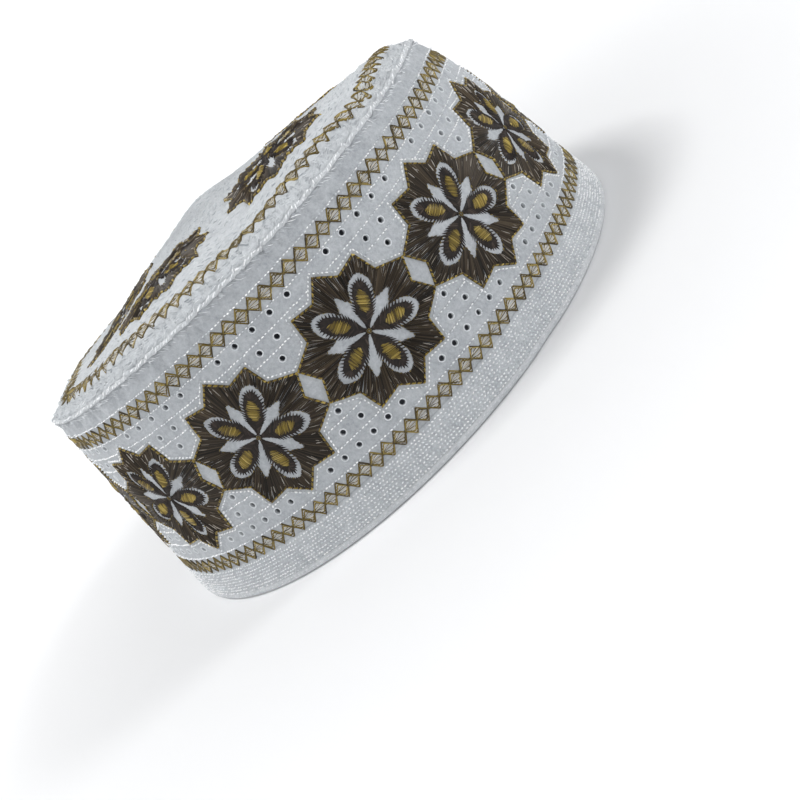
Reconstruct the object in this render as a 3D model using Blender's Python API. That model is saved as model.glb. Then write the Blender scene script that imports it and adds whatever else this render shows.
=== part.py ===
"""Embroidered prayer cap: a soft round cap with a pierced side band, a padded top and a stitched hem.

The cap stands on its rim at z = 0, axis on Z, front towards -Y. Every piece is a wall that follows one
cap surface, which is a turned outline that has slouched: its back has sunk and leans in, and the top
has soft humps and dips. A run is a length up the outline from the rim. Sizes are in metres and angles
in degrees.
"""
import math

import bmesh
import bpy

# Turned outline of the cap, before it slouches
RIM_RADIUS = 0.092
WALL_LEAN = 0.1168          # how fast the wall narrows with height
WALL_EASE = 0.37            # how far it straightens again, per metre
WALL_TOP = 0.0695           # where the wall starts to round over
CROWN_RADIUS = 0.0120       # rounded edge between wall and top
TOP_DOME = 0.0020           # rise of the flat top towards its centre

# Heights along the wall
RIM_FOLD_TOP = 0.0022
HEM_TOP = 0.0118

# The seam lies on the rounded edge, given as angles up its arc
SEAM_START = 30.0
SEAM_END = 36.0

# Wall thicknesses
BAND_WALL = 0.0018
TOP_WALL = 0.0022
HEM_WALL = 0.0024
RIM_FOLD_WALL = 0.0032
SEAM_WALL = 0.0022
SEAM_RISE = 0.0005
RIM_FOLD_RISE = 0.0003
GAP = 0.0003

# The slouch: the cap's upper part sinks and leans in, more and more towards its back right
SLOUCH_BEARING = 155.0      # the way it sinks, from the front
SLOUCH_START = -0.012       # how far that way from the axis it starts
SLOUCH_END = 0.078          # how far that way it is full
SLOUCH_DROP = 0.0140
SLOUCH_LEAN = 0.0100
SLOUCH_POWER = 1.4          # how much more the upper cap moves than the lower

# Soft places of the top: centre, reach across and along, lift
SOFT_SPOT_COLUMNS = ("name", "x", "y", "reach_x", "reach_y", "lift")
SOFT_SPOTS = (
    ("hump_back", 0.000, 0.0295, 0.0133, 0.0339, 0.0032),
    ("left_fall", -0.0645, 0.0180, 0.0326, 0.0548, -0.0083),
    ("right_fall", 0.0667, 0.0034, 0.0297, 0.0404, -0.0014),
    ("front_dip", 0.001, -0.062, 0.013, 0.016, -0.0022),
    ("front_left_puff", -0.030, -0.046, 0.018, 0.018, 0.0012),
    ("front_right_puff", 0.028, -0.046, 0.018, 0.018, 0.0016),
)

# Soft dents of the wall: bearing from the front, height, reach round and up, push inwards
DENT_COLUMNS = ("name", "bearing", "height", "reach_round", "reach_up", "push")
DENTS = (
    ("left_tuck", -97.8, 0.0851, 34.8, 0.0553, 0.0050),
    ("right_tuck", 92.0, 0.0867, 34.1, 0.0209, 0.0075),
    ("back_fold", 176.0, 0.040, 30.0, 0.014, 0.0022),
    ("hem_crease", 24.0, 0.006, 4.0, 0.012, 0.0008),
)

# Stars round the band, with eyelets in the gaps between them
STAR_COUNT = 13
FIRST_STAR_BEARING = 58.2
EYELET_RADIUS = 0.0009
EYELET_SIDES = 6
EYELET_COLUMNS = ("height", "count", "spacing")
EYELET_ROWS = (
    (0.0630, 3, 0.0132),
    (0.0519, 1, 0.0),
    (0.0313, 1, 0.0),
    (0.0206, 3, 0.0110),
)

# How finely the walls are divided
ROUND_STEPS = 78
BAND_STEPS = 5
CROWN_STEPS = 3
TOP_STEPS = 5
HEM_STEPS = 2
SURFACE_PROBE = 0.0002      # step used to find the way out of the surface

COLOURS = {
    "white_cotton": ((0.80, 0.83, 0.86, 1.0), 0.88),
    "white_thread": ((0.88, 0.90, 0.92, 1.0), 0.62),
    "white_fold": ((0.76, 0.79, 0.82, 1.0), 0.80),
}


def clear_scene():
    """Removes whatever the file starts with."""
    for thing in list(bpy.data.objects):
        bpy.data.objects.remove(thing, do_unlink=True)


def rows(columns, table):
    """Each row of a table as a dictionary of its named columns."""
    return [dict(zip(columns, row)) for row in table]


def smooth(value):
    """Eases a value from 0 to 1."""
    value = min(1.0, max(0.0, value))
    return value * value * (3.0 - 2.0 * value)


def wall_radius(height):
    """Radius of the turned outline at a height of the wall."""
    return RIM_RADIUS - WALL_LEAN * height + WALL_EASE * height * height


def outline_length():
    """How far the outline runs from the rim to the top's centre."""
    return WALL_TOP + CROWN_RADIUS * math.pi / 2 + wall_radius(WALL_TOP) - CROWN_RADIUS


def outline_point(run):
    """Radius and height of the turned outline, by the run along it from the rim."""
    if run <= WALL_TOP:
        return wall_radius(run), run
    centre_radius = wall_radius(WALL_TOP) - CROWN_RADIUS
    turn = (run - WALL_TOP) / CROWN_RADIUS
    if turn <= math.pi / 2:
        return centre_radius + CROWN_RADIUS * math.cos(turn), WALL_TOP + CROWN_RADIUS * math.sin(turn)
    radius = max(0.0, centre_radius - (run - WALL_TOP - CROWN_RADIUS * math.pi / 2))
    dome = TOP_DOME * (1.0 - (radius / centre_radius) ** 2)
    return radius, WALL_TOP + CROWN_RADIUS + dome


def slouched(bearing, radius, height):
    """A point of the turned cap after its wall has dented and its back and top have sunk."""
    for dent in rows(DENT_COLUMNS, DENTS):
        turned = (math.degrees(bearing) - dent["bearing"] + 180.0) % 360.0 - 180.0
        away = (turned / dent["reach_round"]) ** 2 + ((height - dent["height"]) / dent["reach_up"]) ** 2
        radius -= dent["push"] * math.exp(-away) * radius / RIM_RADIUS
    x = radius * math.sin(bearing)
    y = -radius * math.cos(bearing)
    full_height = WALL_TOP + CROWN_RADIUS
    high = max(0.0, height / full_height)
    way = math.radians(SLOUCH_BEARING)
    reach = x * math.sin(way) - y * math.cos(way)
    sunk = smooth((reach - SLOUCH_START) / (SLOUCH_END - SLOUCH_START)) * high ** SLOUCH_POWER
    z = height - SLOUCH_DROP * sunk
    for spot in rows(SOFT_SPOT_COLUMNS, SOFT_SPOTS):
        away = ((x - spot["x"]) / spot["reach_x"]) ** 2 + ((y - spot["y"]) / spot["reach_y"]) ** 2
        z += spot["lift"] * math.exp(-away) * high ** 4
    lean = SLOUCH_LEAN * sunk
    return x - lean * math.sin(way), y + lean * math.cos(way), z


def surface_point(bearing, run, depth):
    """A point on the cap: bearing from the front, run up from the rim, and depth under the outside."""
    radius, height = outline_point(run)
    behind = outline_point(max(0.0, run - SURFACE_PROBE))
    ahead = outline_point(run + SURFACE_PROBE)
    along_radius = ahead[0] - behind[0]
    along_height = ahead[1] - behind[1]
    length = math.hypot(along_radius, along_height)
    radius -= depth * along_height / length
    height += depth * along_radius / length
    return slouched(bearing, radius, height)


def bearings():
    """The bearings of the walls' divisions, once round."""
    return [math.tau * step / ROUND_STEPS for step in range(ROUND_STEPS)]


def runs_between(start, end, steps):
    """Even steps from one run to another, both included."""
    return [start + (end - start) * step / steps for step in range(steps + 1)]


def crown_run(turn):
    """The run at an angle up the rounded edge, in degrees."""
    return WALL_TOP + CROWN_RADIUS * math.radians(turn)


def add_object(name, mesh_maker, slot):
    """Makes a smooth-shaded object from a bmesh and gives it its material."""
    mesh = bpy.data.meshes.new(name)
    bmesh.ops.recalc_face_normals(mesh_maker, faces=mesh_maker.faces)
    mesh_maker.to_mesh(mesh)
    mesh_maker.free()
    mesh.shade_smooth()
    mesh.set_sharp_from_angle(angle=math.radians(50.0))
    mesh.materials.append(material(slot))
    piece = bpy.data.objects.new(name, mesh)
    bpy.context.scene.collection.objects.link(piece)
    return piece


def material(slot):
    """The plain material of one slot."""
    found = bpy.data.materials.get(slot)
    if found:
        return found
    made = bpy.data.materials.new(slot)
    made.use_nodes = True
    colour, roughness = COLOURS[slot]
    shader = made.node_tree.nodes["Principled BSDF"]
    shader.inputs["Base Color"].default_value = colour
    shader.inputs["Roughness"].default_value = roughness
    shader.inputs["Metallic"].default_value = 0.0
    return made


def join_loops(maker, loops):
    """Joins neighbouring loops of equal length with four-sided faces."""
    for lower, upper in zip(loops, loops[1:]):
        for step, corner in enumerate(lower):
            after = (step + 1) % len(lower)
            maker.faces.new((corner, lower[after], upper[after], upper[step]))


def ring_wall(name, section, slot):
    """A closed ring round the cap, from a section of (run, depth) corners in order."""
    maker = bmesh.new()
    loops = [
        [maker.verts.new(surface_point(bearing, run, depth)) for bearing in bearings()]
        for run, depth in section
    ]
    join_loops(maker, loops + loops[:1])
    return add_object(name, maker, slot)


def wall_section(runs, outer_depth, inner_depth):
    """The section of a plain wall: up its outside, then down its inside."""
    outside = [(run, outer_depth) for run in runs]
    inside = [(run, inner_depth) for run in reversed(runs)]
    return outside + inside


def make_rim_fold():
    """The folded edge that the cap stands on, with a flat underside."""
    top = RIM_FOLD_TOP
    section = (
        (0.0, 0.0),
        (top * 0.3, -RIM_FOLD_RISE),
        (top * 0.8, -RIM_FOLD_RISE),
        (top, 0.0),
        (top, RIM_FOLD_WALL),
        (0.0, RIM_FOLD_WALL),
    )
    piece = ring_wall("rim_fold", section, "white_fold")
    for corner in piece.data.vertices:
        if corner.co.z < top * 0.25:
            corner.co.z = 0.0
    return piece


def make_hem_band():
    """The stitched hem above the rim."""
    runs = runs_between(RIM_FOLD_TOP + GAP, HEM_TOP, HEM_STEPS)
    return ring_wall("hem_band", wall_section(runs, 0.0, HEM_WALL), "white_thread")


def make_side_band():
    """The side wall with its eyelets, from the hem to the seam."""
    runs = runs_between(HEM_TOP + GAP, WALL_TOP, BAND_STEPS)
    runs += runs_between(WALL_TOP, crown_run(SEAM_START) - GAP, 1)[1:]
    band = ring_wall("side_band", wall_section(runs, 0.0, BAND_WALL), "white_cotton")
    cutter = make_eyelet_cutter()
    cut = band.modifiers.new("eyelets", "BOOLEAN")
    cut.operation = "DIFFERENCE"
    cut.solver = "EXACT"
    cut.object = cutter
    return band


def eyelet_places():
    """Bearing and height of each eyelet: rows of a few in each gap between two stars."""
    places = []
    for gap in range(STAR_COUNT):
        middle = math.radians(FIRST_STAR_BEARING + (gap + 0.5) * 360.0 / STAR_COUNT)
        for row in rows(EYELET_COLUMNS, EYELET_ROWS):
            for number in range(row["count"]):
                offset = (number - (row["count"] - 1) / 2) * row["spacing"]
                places.append((middle + offset / wall_radius(row["height"]), row["height"]))
    return places


def make_eyelet_cutter():
    """All eyelet pins in one hidden object, each a prism straight through the wall."""
    maker = bmesh.new()
    for bearing, height in eyelet_places():
        ends = []
        for depth in (-BAND_WALL, 2.0 * BAND_WALL):
            ring = []
            for side in range(EYELET_SIDES):
                turn = math.tau * side / EYELET_SIDES
                across = EYELET_RADIUS * math.cos(turn) / wall_radius(height)
                run = height + EYELET_RADIUS * math.sin(turn)
                ring.append(maker.verts.new(surface_point(bearing + across, run, depth)))
            ends.append(ring)
        join_loops(maker, ends)
        maker.faces.new(reversed(ends[0]))
        maker.faces.new(ends[1])
    cutter = add_object("eyelet_cutter", maker, "white_cotton")
    cutter.hide_render = True
    cutter.display_type = "WIRE"
    return cutter


def make_crown_seam():
    """The raised seam that joins the side band to the top."""
    start, end = crown_run(SEAM_START), crown_run(SEAM_END)
    middle = (start + end) / 2
    section = (
        (start, 0.0),
        (middle, -SEAM_RISE),
        (end, 0.0),
        (end, SEAM_WALL),
        (start, SEAM_WALL),
    )
    return ring_wall("crown_seam", section, "white_thread")


def make_top_panel():
    """The soft round top, one closed wall with a rounded edge down to the seam."""
    maker = bmesh.new()
    crown_end = crown_run(90.0)
    runs = runs_between(crown_run(SEAM_END) + GAP, crown_end, CROWN_STEPS)
    runs += runs_between(crown_end, outline_length(), TOP_STEPS)[1:-1]
    outside = [
        [maker.verts.new(surface_point(bearing, run, 0.0)) for bearing in bearings()] for run in runs
    ]
    inside = [
        [maker.verts.new(surface_point(bearing, run, TOP_WALL)) for bearing in bearings()] for run in runs
    ]
    join_loops(maker, inside[::-1] + outside)
    for loop, depth in ((outside[-1], 0.0), (inside[-1], TOP_WALL)):
        centre = maker.verts.new(surface_point(0.0, outline_length() - SURFACE_PROBE, depth))
        for step, corner in enumerate(loop):
            maker.faces.new((corner, loop[(step + 1) % len(loop)], centre))
    return add_object("top_panel", maker, "white_cotton")


def main():
    """Builds the cap from the rim up."""
    clear_scene()
    make_rim_fold()
    make_hem_band()
    make_side_band()
    make_crown_seam()
    make_top_panel()


if __name__ == "__main__":
    main()
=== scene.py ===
"""A white prayer cap with brown and gold embroidery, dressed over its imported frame.

Every stitch and piece of cloth is laid on one surface, CapSurface, which repeats the
frame's own outline, slouch, dents and soft spots from the same named values. Lengths are
in metres and bearings in degrees: 0 faces the camera side, and they grow to the right.
"""

import logging
import math
from collections.abc import Sequence
from dataclasses import dataclass, field
from enum import Enum

import bpy
import numpy as np
from mathutils import Matrix, Vector
from mathutils.geometry import delaunay_2d_cdt


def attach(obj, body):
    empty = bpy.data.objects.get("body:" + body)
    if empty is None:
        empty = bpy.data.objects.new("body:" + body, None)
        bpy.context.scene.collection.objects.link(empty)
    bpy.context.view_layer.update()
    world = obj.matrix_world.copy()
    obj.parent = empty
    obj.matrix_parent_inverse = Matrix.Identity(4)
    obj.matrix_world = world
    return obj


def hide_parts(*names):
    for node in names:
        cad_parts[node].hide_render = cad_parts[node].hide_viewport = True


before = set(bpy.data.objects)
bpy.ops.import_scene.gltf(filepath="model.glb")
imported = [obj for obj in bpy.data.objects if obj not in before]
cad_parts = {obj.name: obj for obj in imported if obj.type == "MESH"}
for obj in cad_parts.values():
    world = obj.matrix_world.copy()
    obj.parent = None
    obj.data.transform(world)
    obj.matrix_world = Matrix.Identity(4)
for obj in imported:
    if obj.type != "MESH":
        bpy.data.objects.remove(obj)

LOG = logging.getLogger("prayer_cap")
BODY = "root"


# The cap's surface


@dataclass(frozen=True)
class SoftSpot:
    """A soft hump or hollow of the crown cloth, at one place of its plan."""

    x: float
    y: float
    reach_x: float
    reach_y: float
    lift: float


@dataclass(frozen=True)
class Dent:
    """A place where the cloth is pushed in round one bearing and height."""

    bearing: float
    height: float
    reach_round: float
    reach_up: float
    push: float


@dataclass(frozen=True)
class Slouch:
    """How the soft crown sinks and leans towards the back of the cap."""

    bearing: float = 155.0
    start: float = -0.012
    end: float = 0.078
    drop: float = 0.0140
    lean: float = 0.0100
    power: float = 1.4
    crown_height: float = 0.0815
    rim_radius: float = 0.092
    spots: tuple[SoftSpot, ...] = (
        SoftSpot(0.000, 0.0295, 0.0133, 0.0339, 0.0032),
        SoftSpot(-0.0645, 0.0180, 0.0326, 0.0548, -0.0083),
        SoftSpot(0.0667, 0.0034, 0.0297, 0.0404, -0.0014),
        SoftSpot(0.001, -0.062, 0.013, 0.016, -0.0022),
        SoftSpot(-0.030, -0.046, 0.018, 0.018, 0.0012),
        SoftSpot(0.028, -0.046, 0.018, 0.018, 0.0016),
    )
    dents: tuple[Dent, ...] = (
        Dent(-97.8, 0.0851, 34.8, 0.0553, 0.0050),
        Dent(92.0, 0.0867, 34.1, 0.0209, 0.0075),
        Dent(176.0, 0.040, 30.0, 0.014, 0.0022),
        Dent(24.0, 0.006, 4.0, 0.012, 0.0008),
    )

    def bend(self, bearing: np.ndarray, radius: np.ndarray, height: np.ndarray) -> np.ndarray:
        """Moves points of the plain turned cap to where the soft cloth lies.

        Args:
            bearing: Bearings in radians.
            radius: Distances from the upright axis.
            height: Heights above the floor.

        Returns:
            The points, with x, y and z along the last axis.
        """
        for dent in self.dents:
            turned = (np.degrees(bearing) - dent.bearing + 180.0) % 360.0 - 180.0
            away = (turned / dent.reach_round) ** 2
            away = away + ((height - dent.height) / dent.reach_up) ** 2
            radius = radius - dent.push * np.exp(-away) * radius / self.rim_radius
        x = radius * np.sin(bearing)
        y = -radius * np.cos(bearing)
        high = np.maximum(0.0, height / self.crown_height)
        way = math.radians(self.bearing)
        reach = x * math.sin(way) - y * math.cos(way)
        share = np.clip((reach - self.start) / (self.end - self.start), 0.0, 1.0)
        sunk = share * share * (3.0 - 2.0 * share) * high**self.power
        z = height - self.drop * sunk
        for spot in self.spots:
            away = ((x - spot.x) / spot.reach_x) ** 2 + ((y - spot.y) / spot.reach_y) ** 2
            z = z + spot.lift * np.exp(-away) * high**4
        lean = self.lean * sunk
        return np.stack([x - lean * math.sin(way), y + lean * math.cos(way), z], axis=-1)


@dataclass(frozen=True)
class Puckers:
    """The soft waves and gathers that stitching draws into the cloth, and the seam's roll."""

    waves: int = 14
    seed: int = 7
    wall: float = 0.00010
    seam: float = 0.00055
    top: float = 0.00022
    seam_run: float = 0.0764
    seam_reach: float = 0.0070
    gathers: int = 74
    gather_lift: float = 0.00068
    top_gather_run: float = 0.0797
    top_gather_reach: float = 0.0032
    wall_gather_run: float = 0.0722
    wall_gather_reach: float = 0.0024
    wall_gather_share: float = 0.55
    roll_lift: float = 0.00085
    roll_reach: float = 0.0018
    groove_share: float = 0.20
    groove_place: float = 2.1

    def lift(self, bearing: np.ndarray, run: np.ndarray) -> np.ndarray:
        """The waves' height over the plain skin.

        Args:
            bearing: Bearings in radians.
            run: Distances up the outline.

        Returns:
            Heights in metres.
        """
        rng = np.random.default_rng(self.seed)
        total = np.zeros(np.broadcast(bearing, run).shape)
        for wave in range(self.waves):
            lobes = int(rng.integers(22, 60) * (1 + wave / 4))
            climb = rng.uniform(-1.0, 1.0) * (300.0 + 90.0 * wave)
            total = total + np.sin(lobes * bearing + climb * run + rng.uniform(0, 2 * math.pi))
        share = total / math.sqrt(self.waves)
        beside = np.exp(-(((run - self.seam_run) / self.seam_reach) ** 2))
        depth = np.where(run > self.seam_run, self.top, self.wall)
        fade = np.clip((0.160 - run) / 0.02, 0.0, 1.0) * np.clip((run - 0.004) / 0.01, 0.0, 1.0)
        folds = np.sin(self.gathers * bearing + 2.2 * share + 160.0 * run)
        near = np.exp(-(((run - self.top_gather_run) / self.top_gather_reach) ** 2))
        beyond = (run - self.wall_gather_run) / self.wall_gather_reach
        near = near + self.wall_gather_share * np.exp(-(beyond**2))
        gathered = self.gather_lift * near * folds * (0.62 + 0.38 * np.tanh(1.6 * share))
        away = (run - self.seam_run) / self.roll_reach
        groove = np.exp(-((np.abs(away) - self.groove_place) ** 2))
        roll = self.roll_lift * (np.exp(-(away**2)) - self.groove_share * groove)
        uneven = 1.0 + 0.25 * np.tanh(share)
        return share * (depth + (self.seam - depth) * beside) * fade + gathered + roll * uneven


@dataclass(frozen=True)
class CapSurface:
    """The cap's outer skin, as a surface of bearing, run up the outline and rise off it."""

    rim_radius: float = 0.092
    wall_lean: float = 0.1168
    wall_ease: float = 0.37
    wall_top: float = 0.0695
    crown_radius: float = 0.0120
    top_dome: float = 0.0020
    slouch: Slouch = field(default_factory=Slouch)
    puckers: Puckers = field(default_factory=Puckers)

    @property
    def centre_radius(self) -> float:
        """The radius at which the crown's bend ends and the flat top starts."""
        wall = self.rim_radius - self.wall_lean * self.wall_top
        return wall + self.wall_ease * self.wall_top**2 - self.crown_radius

    @property
    def bend_end(self) -> float:
        """The run at which the crown's bend ends."""
        return self.wall_top + self.crown_radius * math.pi / 2

    @property
    def length(self) -> float:
        """The run from the rim to the middle of the top."""
        return self.bend_end + self.centre_radius

    def outline(self, run: np.ndarray) -> tuple[np.ndarray, np.ndarray, np.ndarray, np.ndarray]:
        """Follows the outline from the rim up the wall, round the bend and over the top.

        Args:
            run: Distances along the outline.

        Returns:
            Radius, height, and the outward direction's share along each of the two.
        """
        run = np.asarray(run, dtype=float)
        wall = np.minimum(run, self.wall_top)
        wall_radius = self.rim_radius - self.wall_lean * wall + self.wall_ease * wall**2
        slope = -self.wall_lean + 2 * self.wall_ease * wall
        size = np.sqrt(1.0 + slope**2)
        turn = np.clip((run - self.wall_top) / self.crown_radius, 0.0, math.pi / 2)
        bend_radius = self.centre_radius + self.crown_radius * np.cos(turn)
        bend_height = self.wall_top + self.crown_radius * np.sin(turn)
        flat = np.maximum(0.0, self.centre_radius - np.maximum(0.0, run - self.bend_end))
        share = flat / self.centre_radius
        flat_height = self.wall_top + self.crown_radius + self.top_dome * (1 - share**2)
        tilt = 2 * self.top_dome * flat / self.centre_radius**2
        flat_size = np.sqrt(1.0 + tilt**2)
        on_wall = run <= self.wall_top
        on_bend = run <= self.bend_end
        radius = np.where(on_wall, wall_radius, np.where(on_bend, bend_radius, flat))
        height = np.where(on_wall, wall, np.where(on_bend, bend_height, flat_height))
        out = np.where(on_wall, 1 / size, np.where(on_bend, np.cos(turn), tilt / flat_size))
        up = np.where(on_wall, -slope / size, np.where(on_bend, np.sin(turn), 1 / flat_size))
        return radius, height, out, up

    def radius_at(self, run: float) -> float:
        """The radius of the outline at one run."""
        return float(self.outline(np.array(run))[0])

    def place(self, bearing: np.ndarray, run: np.ndarray, rise: np.ndarray | float) -> np.ndarray:
        """Places points on or off the cap's skin.

        Args:
            bearing: Bearings in radians.
            run: Distances up the outline.
            rise: Distances outwards from the skin; below zero is into the cloth.

        Returns:
            The points, with x, y and z along the last axis.
        """
        radius, height, out, up = self.outline(run)
        rise = rise + self.puckers.lift(bearing, run)
        return self.slouch.bend(bearing, radius + rise * out, height + rise * up)


# Flat working charts


class Chart:
    """Flat working coordinates in metres that are laid onto the cap's surface."""

    def lay(self, flat: np.ndarray, rise: np.ndarray | float) -> np.ndarray:
        """Places flat points on the cap; each chart says how."""
        raise NotImplementedError


@dataclass(frozen=True)
class SideChart(Chart):
    """A chart of the wall: across runs round the cap to the right, up runs to the crown."""

    surface: CapSurface
    bearing: float
    run: float

    def lay(self, flat: np.ndarray, rise: np.ndarray | float) -> np.ndarray:
        """Places flat points on the cap.

        Args:
            flat: Points with across and up along the last axis.
            rise: Distances outwards from the skin.

        Returns:
            The points in space.
        """
        radius = self.surface.radius_at(self.run)
        bearing = math.radians(self.bearing) + flat[..., 0] / radius
        return self.surface.place(bearing, self.run + flat[..., 1], rise)


@dataclass(frozen=True)
class TopChart(Chart):
    """A chart of the crown's top: up points from the middle to the rim at its bearing."""

    surface: CapSurface
    bearing: float
    reach: float

    def lay(self, flat: np.ndarray, rise: np.ndarray | float) -> np.ndarray:
        """Places flat points on the cap.

        Args:
            flat: Points with across and up along the last axis.
            rise: Distances outwards from the skin.

        Returns:
            The points in space.
        """
        way = math.radians(self.bearing)
        out = self.reach + flat[..., 1]
        x = out * math.sin(way) - flat[..., 0] * math.cos(way)
        y = -out * math.cos(way) - flat[..., 0] * math.sin(way)
        run = self.surface.length - np.hypot(x, y)
        return self.surface.place(np.arctan2(x, -y), run, rise)


# Meshes


class MeshParts:
    """Gathers the points and faces of one piece and turns them into an object."""

    def __init__(self) -> None:
        """Starts empty."""
        self.points: list[np.ndarray] = []
        self.faces: list[np.ndarray] = []
        self.charts: list[np.ndarray] = []
        self.tones: list[np.ndarray] = []
        self.slots: list[np.ndarray] = []
        self.count = 0

    def add(
        self,
        points: np.ndarray,
        faces: np.ndarray,
        slot: int = 0,
        tone: np.ndarray | None = None,
        chart: np.ndarray | None = None,
    ) -> None:
        """Adds faces over points of their own.

        Args:
            points: The points, N by 3.
            faces: Point numbers, M by 3 or M by 4.
            slot: The material slot of these faces.
            tone: Each point's tone, place along and place across, N by 3.
            chart: Each face corner's cloth coordinates in metres, M by corners by 2.
        """
        self.points.append(points)
        self.faces.append(faces + self.count)
        self.slots.append(np.full(len(faces), slot, dtype=np.int32))
        self.tones.append(np.zeros((len(points), 3)) if tone is None else tone)
        self.charts.append(np.zeros(faces.shape + (2,)) if chart is None else chart)
        self.count += len(points)

    def build(self, name: str, materials: Sequence[bpy.types.Material]) -> bpy.types.Object:
        """Makes the object.

        Args:
            name: The piece's name.
            materials: The materials of its slots.

        Returns:
            The object, linked to the scene.
        """
        points = np.concatenate(self.points).astype(np.float32)
        corners = np.concatenate([face.ravel() for face in self.faces]).astype(np.int32)
        sizes = np.concatenate([np.full(len(face), face.shape[1]) for face in self.faces])
        starts = np.concatenate([[0], np.cumsum(sizes)[:-1]]).astype(np.int32)
        mesh = bpy.data.meshes.new(name)
        mesh.vertices.add(len(points))
        mesh.vertices.foreach_set("co", points.ravel())
        mesh.loops.add(len(corners))
        mesh.loops.foreach_set("vertex_index", corners)
        mesh.polygons.add(len(sizes))
        mesh.polygons.foreach_set("loop_start", starts)
        mesh.polygons.foreach_set("material_index", np.concatenate(self.slots))
        mesh.polygons.foreach_set("use_smooth", np.ones(len(sizes), dtype=bool))
        tones = np.ones((len(points), 4), dtype=np.float32)
        tones[:, :3] = np.concatenate(self.tones)
        layer = mesh.color_attributes.new("tone", "FLOAT_COLOR", "POINT")
        layer.data.foreach_set("color", tones.ravel())
        charts = np.zeros((len(corners), 3), dtype=np.float32)
        charts[:, :2] = np.concatenate([chart.reshape(-1, 2) for chart in self.charts])
        chart_layer = mesh.attributes.new("chart", "FLOAT_VECTOR", "CORNER")
        chart_layer.data.foreach_set("vector", charts.ravel())
        mesh.update(calc_edges=True)
        for material in materials:
            mesh.materials.append(material)
        piece = bpy.data.objects.new(name, mesh)
        bpy.context.scene.collection.objects.link(piece)
        return piece


class Section(Enum):
    """The cross-section of a laid thread: places across and heights, both as shares."""

    RIDGE = ((-1.0, 0.0), (0.0, 1.0), (1.0, 0.0))
    ROUND = ((-1.0, 0.0), (-0.50, 0.92), (0.50, 0.92), (1.0, 0.0))


@dataclass
class Needle:
    """Lays raised threads on a chart, many at a time."""

    parts: MeshParts
    chart: Chart
    sink: float = 0.00010

    def lay(
        self,
        spine: np.ndarray,
        half_width: np.ndarray,
        crest: np.ndarray,
        tone: np.ndarray,
        slot: int = 0,
        section: Section = Section.RIDGE,
        base: float = 0.0,
    ) -> None:
        """Lays threads of one kind.

        Args:
            spine: The threads' middle lines, threads by steps by 2.
            half_width: Half widths, which broadcast to threads by steps.
            crest: Heights of the threads' backs, which broadcast to threads by steps.
            tone: One tone for each thread.
            slot: The material slot.
            section: The cross-section.
            base: The height that the threads lie on.
        """
        threads, steps = spine.shape[:2]
        shape = np.array(section.value)
        along = np.gradient(spine, axis=1)
        along /= np.maximum(np.linalg.norm(along, axis=-1, keepdims=True), 1e-9)
        side = np.stack([-along[..., 1], along[..., 0]], axis=-1)
        half = np.broadcast_to(half_width, (threads, steps))
        high = np.broadcast_to(crest, (threads, steps))
        flat = spine[:, :, None, :] + side[:, :, None, :] * (
            half[:, :, None, None] * shape[None, None, :, 0, None]
        )
        lift = high[:, :, None] * shape[None, None, :, 1]
        rise = base + lift - self.sink * (shape[None, None, :, 1] == 0.0)
        points = self.chart.lay(flat, rise).reshape(-1, 3)
        across = len(shape)
        number = np.arange(threads * steps * across).reshape(threads, steps, across)
        faces = np.stack(
            [
                number[:, :-1, :-1],
                number[:, 1:, :-1],
                number[:, 1:, 1:],
                number[:, :-1, 1:],
            ],
            axis=-1,
        ).reshape(-1, 4)
        tones = np.empty((threads, steps, across, 3))
        tones[..., 0] = np.reshape(tone, (-1, 1, 1))
        tones[..., 1] = np.linspace(0.0, 1.0, steps)[None, :, None]
        # The third number is each point's height share in the section, which the thread finishes
        # use to paint shade towards the thread's edges.
        tones[..., 2] = shape[None, None, :, 1]
        self.parts.add(points, faces, slot, tones.reshape(-1, 3))


def smooth_step(value: np.ndarray) -> np.ndarray:
    """Eases values from 0 to 1, holding them there outside."""
    held = np.clip(value, 0.0, 1.0)
    return held * held * (3.0 - 2.0 * held)


def dashes(
    middle: np.ndarray, way: np.ndarray, length: np.ndarray | float, steps: int = 4
) -> tuple[np.ndarray, np.ndarray]:
    """Makes short straight stitches with rounded ends.

    Args:
        middle: The stitches' middles, N by 2.
        way: Their directions as angles in radians, N.
        length: Their lengths.
        steps: Points along each stitch.

    Returns:
        The spines, and the share of full width and height at each of their points.
    """
    share = np.linspace(-1.0, 1.0, steps)
    reach = np.broadcast_to(np.asarray(length) / 2, (len(middle),))
    aim = np.stack([np.cos(way), np.sin(way)], axis=-1)
    spine = middle[:, None, :] + aim[:, None, :] * (reach[:, None, None] * share[None, :, None])
    swell = np.sqrt(np.maximum(0.0, 1.0 - np.abs(share) ** 3)) * 0.88 + 0.12
    return spine, swell[None, :]


def walk(corners: np.ndarray, pitch: float, closed: bool = True) -> tuple[np.ndarray, np.ndarray]:
    """Spaces places evenly along a line of straight lengths.

    Args:
        corners: The line's corners, N by 2.
        pitch: The wished distance between places.
        closed: Whether the line returns to its start.

    Returns:
        The places, and the line's direction at each as an angle.
    """
    line = np.vstack([corners, corners[:1]]) if closed else corners
    legs = np.diff(line, axis=0)
    sizes = np.linalg.norm(legs, axis=1)
    ends = np.concatenate([[0.0], np.cumsum(sizes)])
    count = max(2, round(ends[-1] / pitch))
    reach = (np.arange(count) + 0.5) * ends[-1] / count
    leg = np.clip(np.searchsorted(ends, reach, side="right") - 1, 0, len(legs) - 1)
    share = (reach - ends[leg]) / sizes[leg]
    places = line[leg] + legs[leg] * share[:, None]
    return places, np.arctan2(legs[leg, 1], legs[leg, 0])


class Profile(Enum):
    """What the two numbers of a swept profile are."""

    UPRIGHT = "radius and height"
    SKIN = "run and rise"


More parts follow.
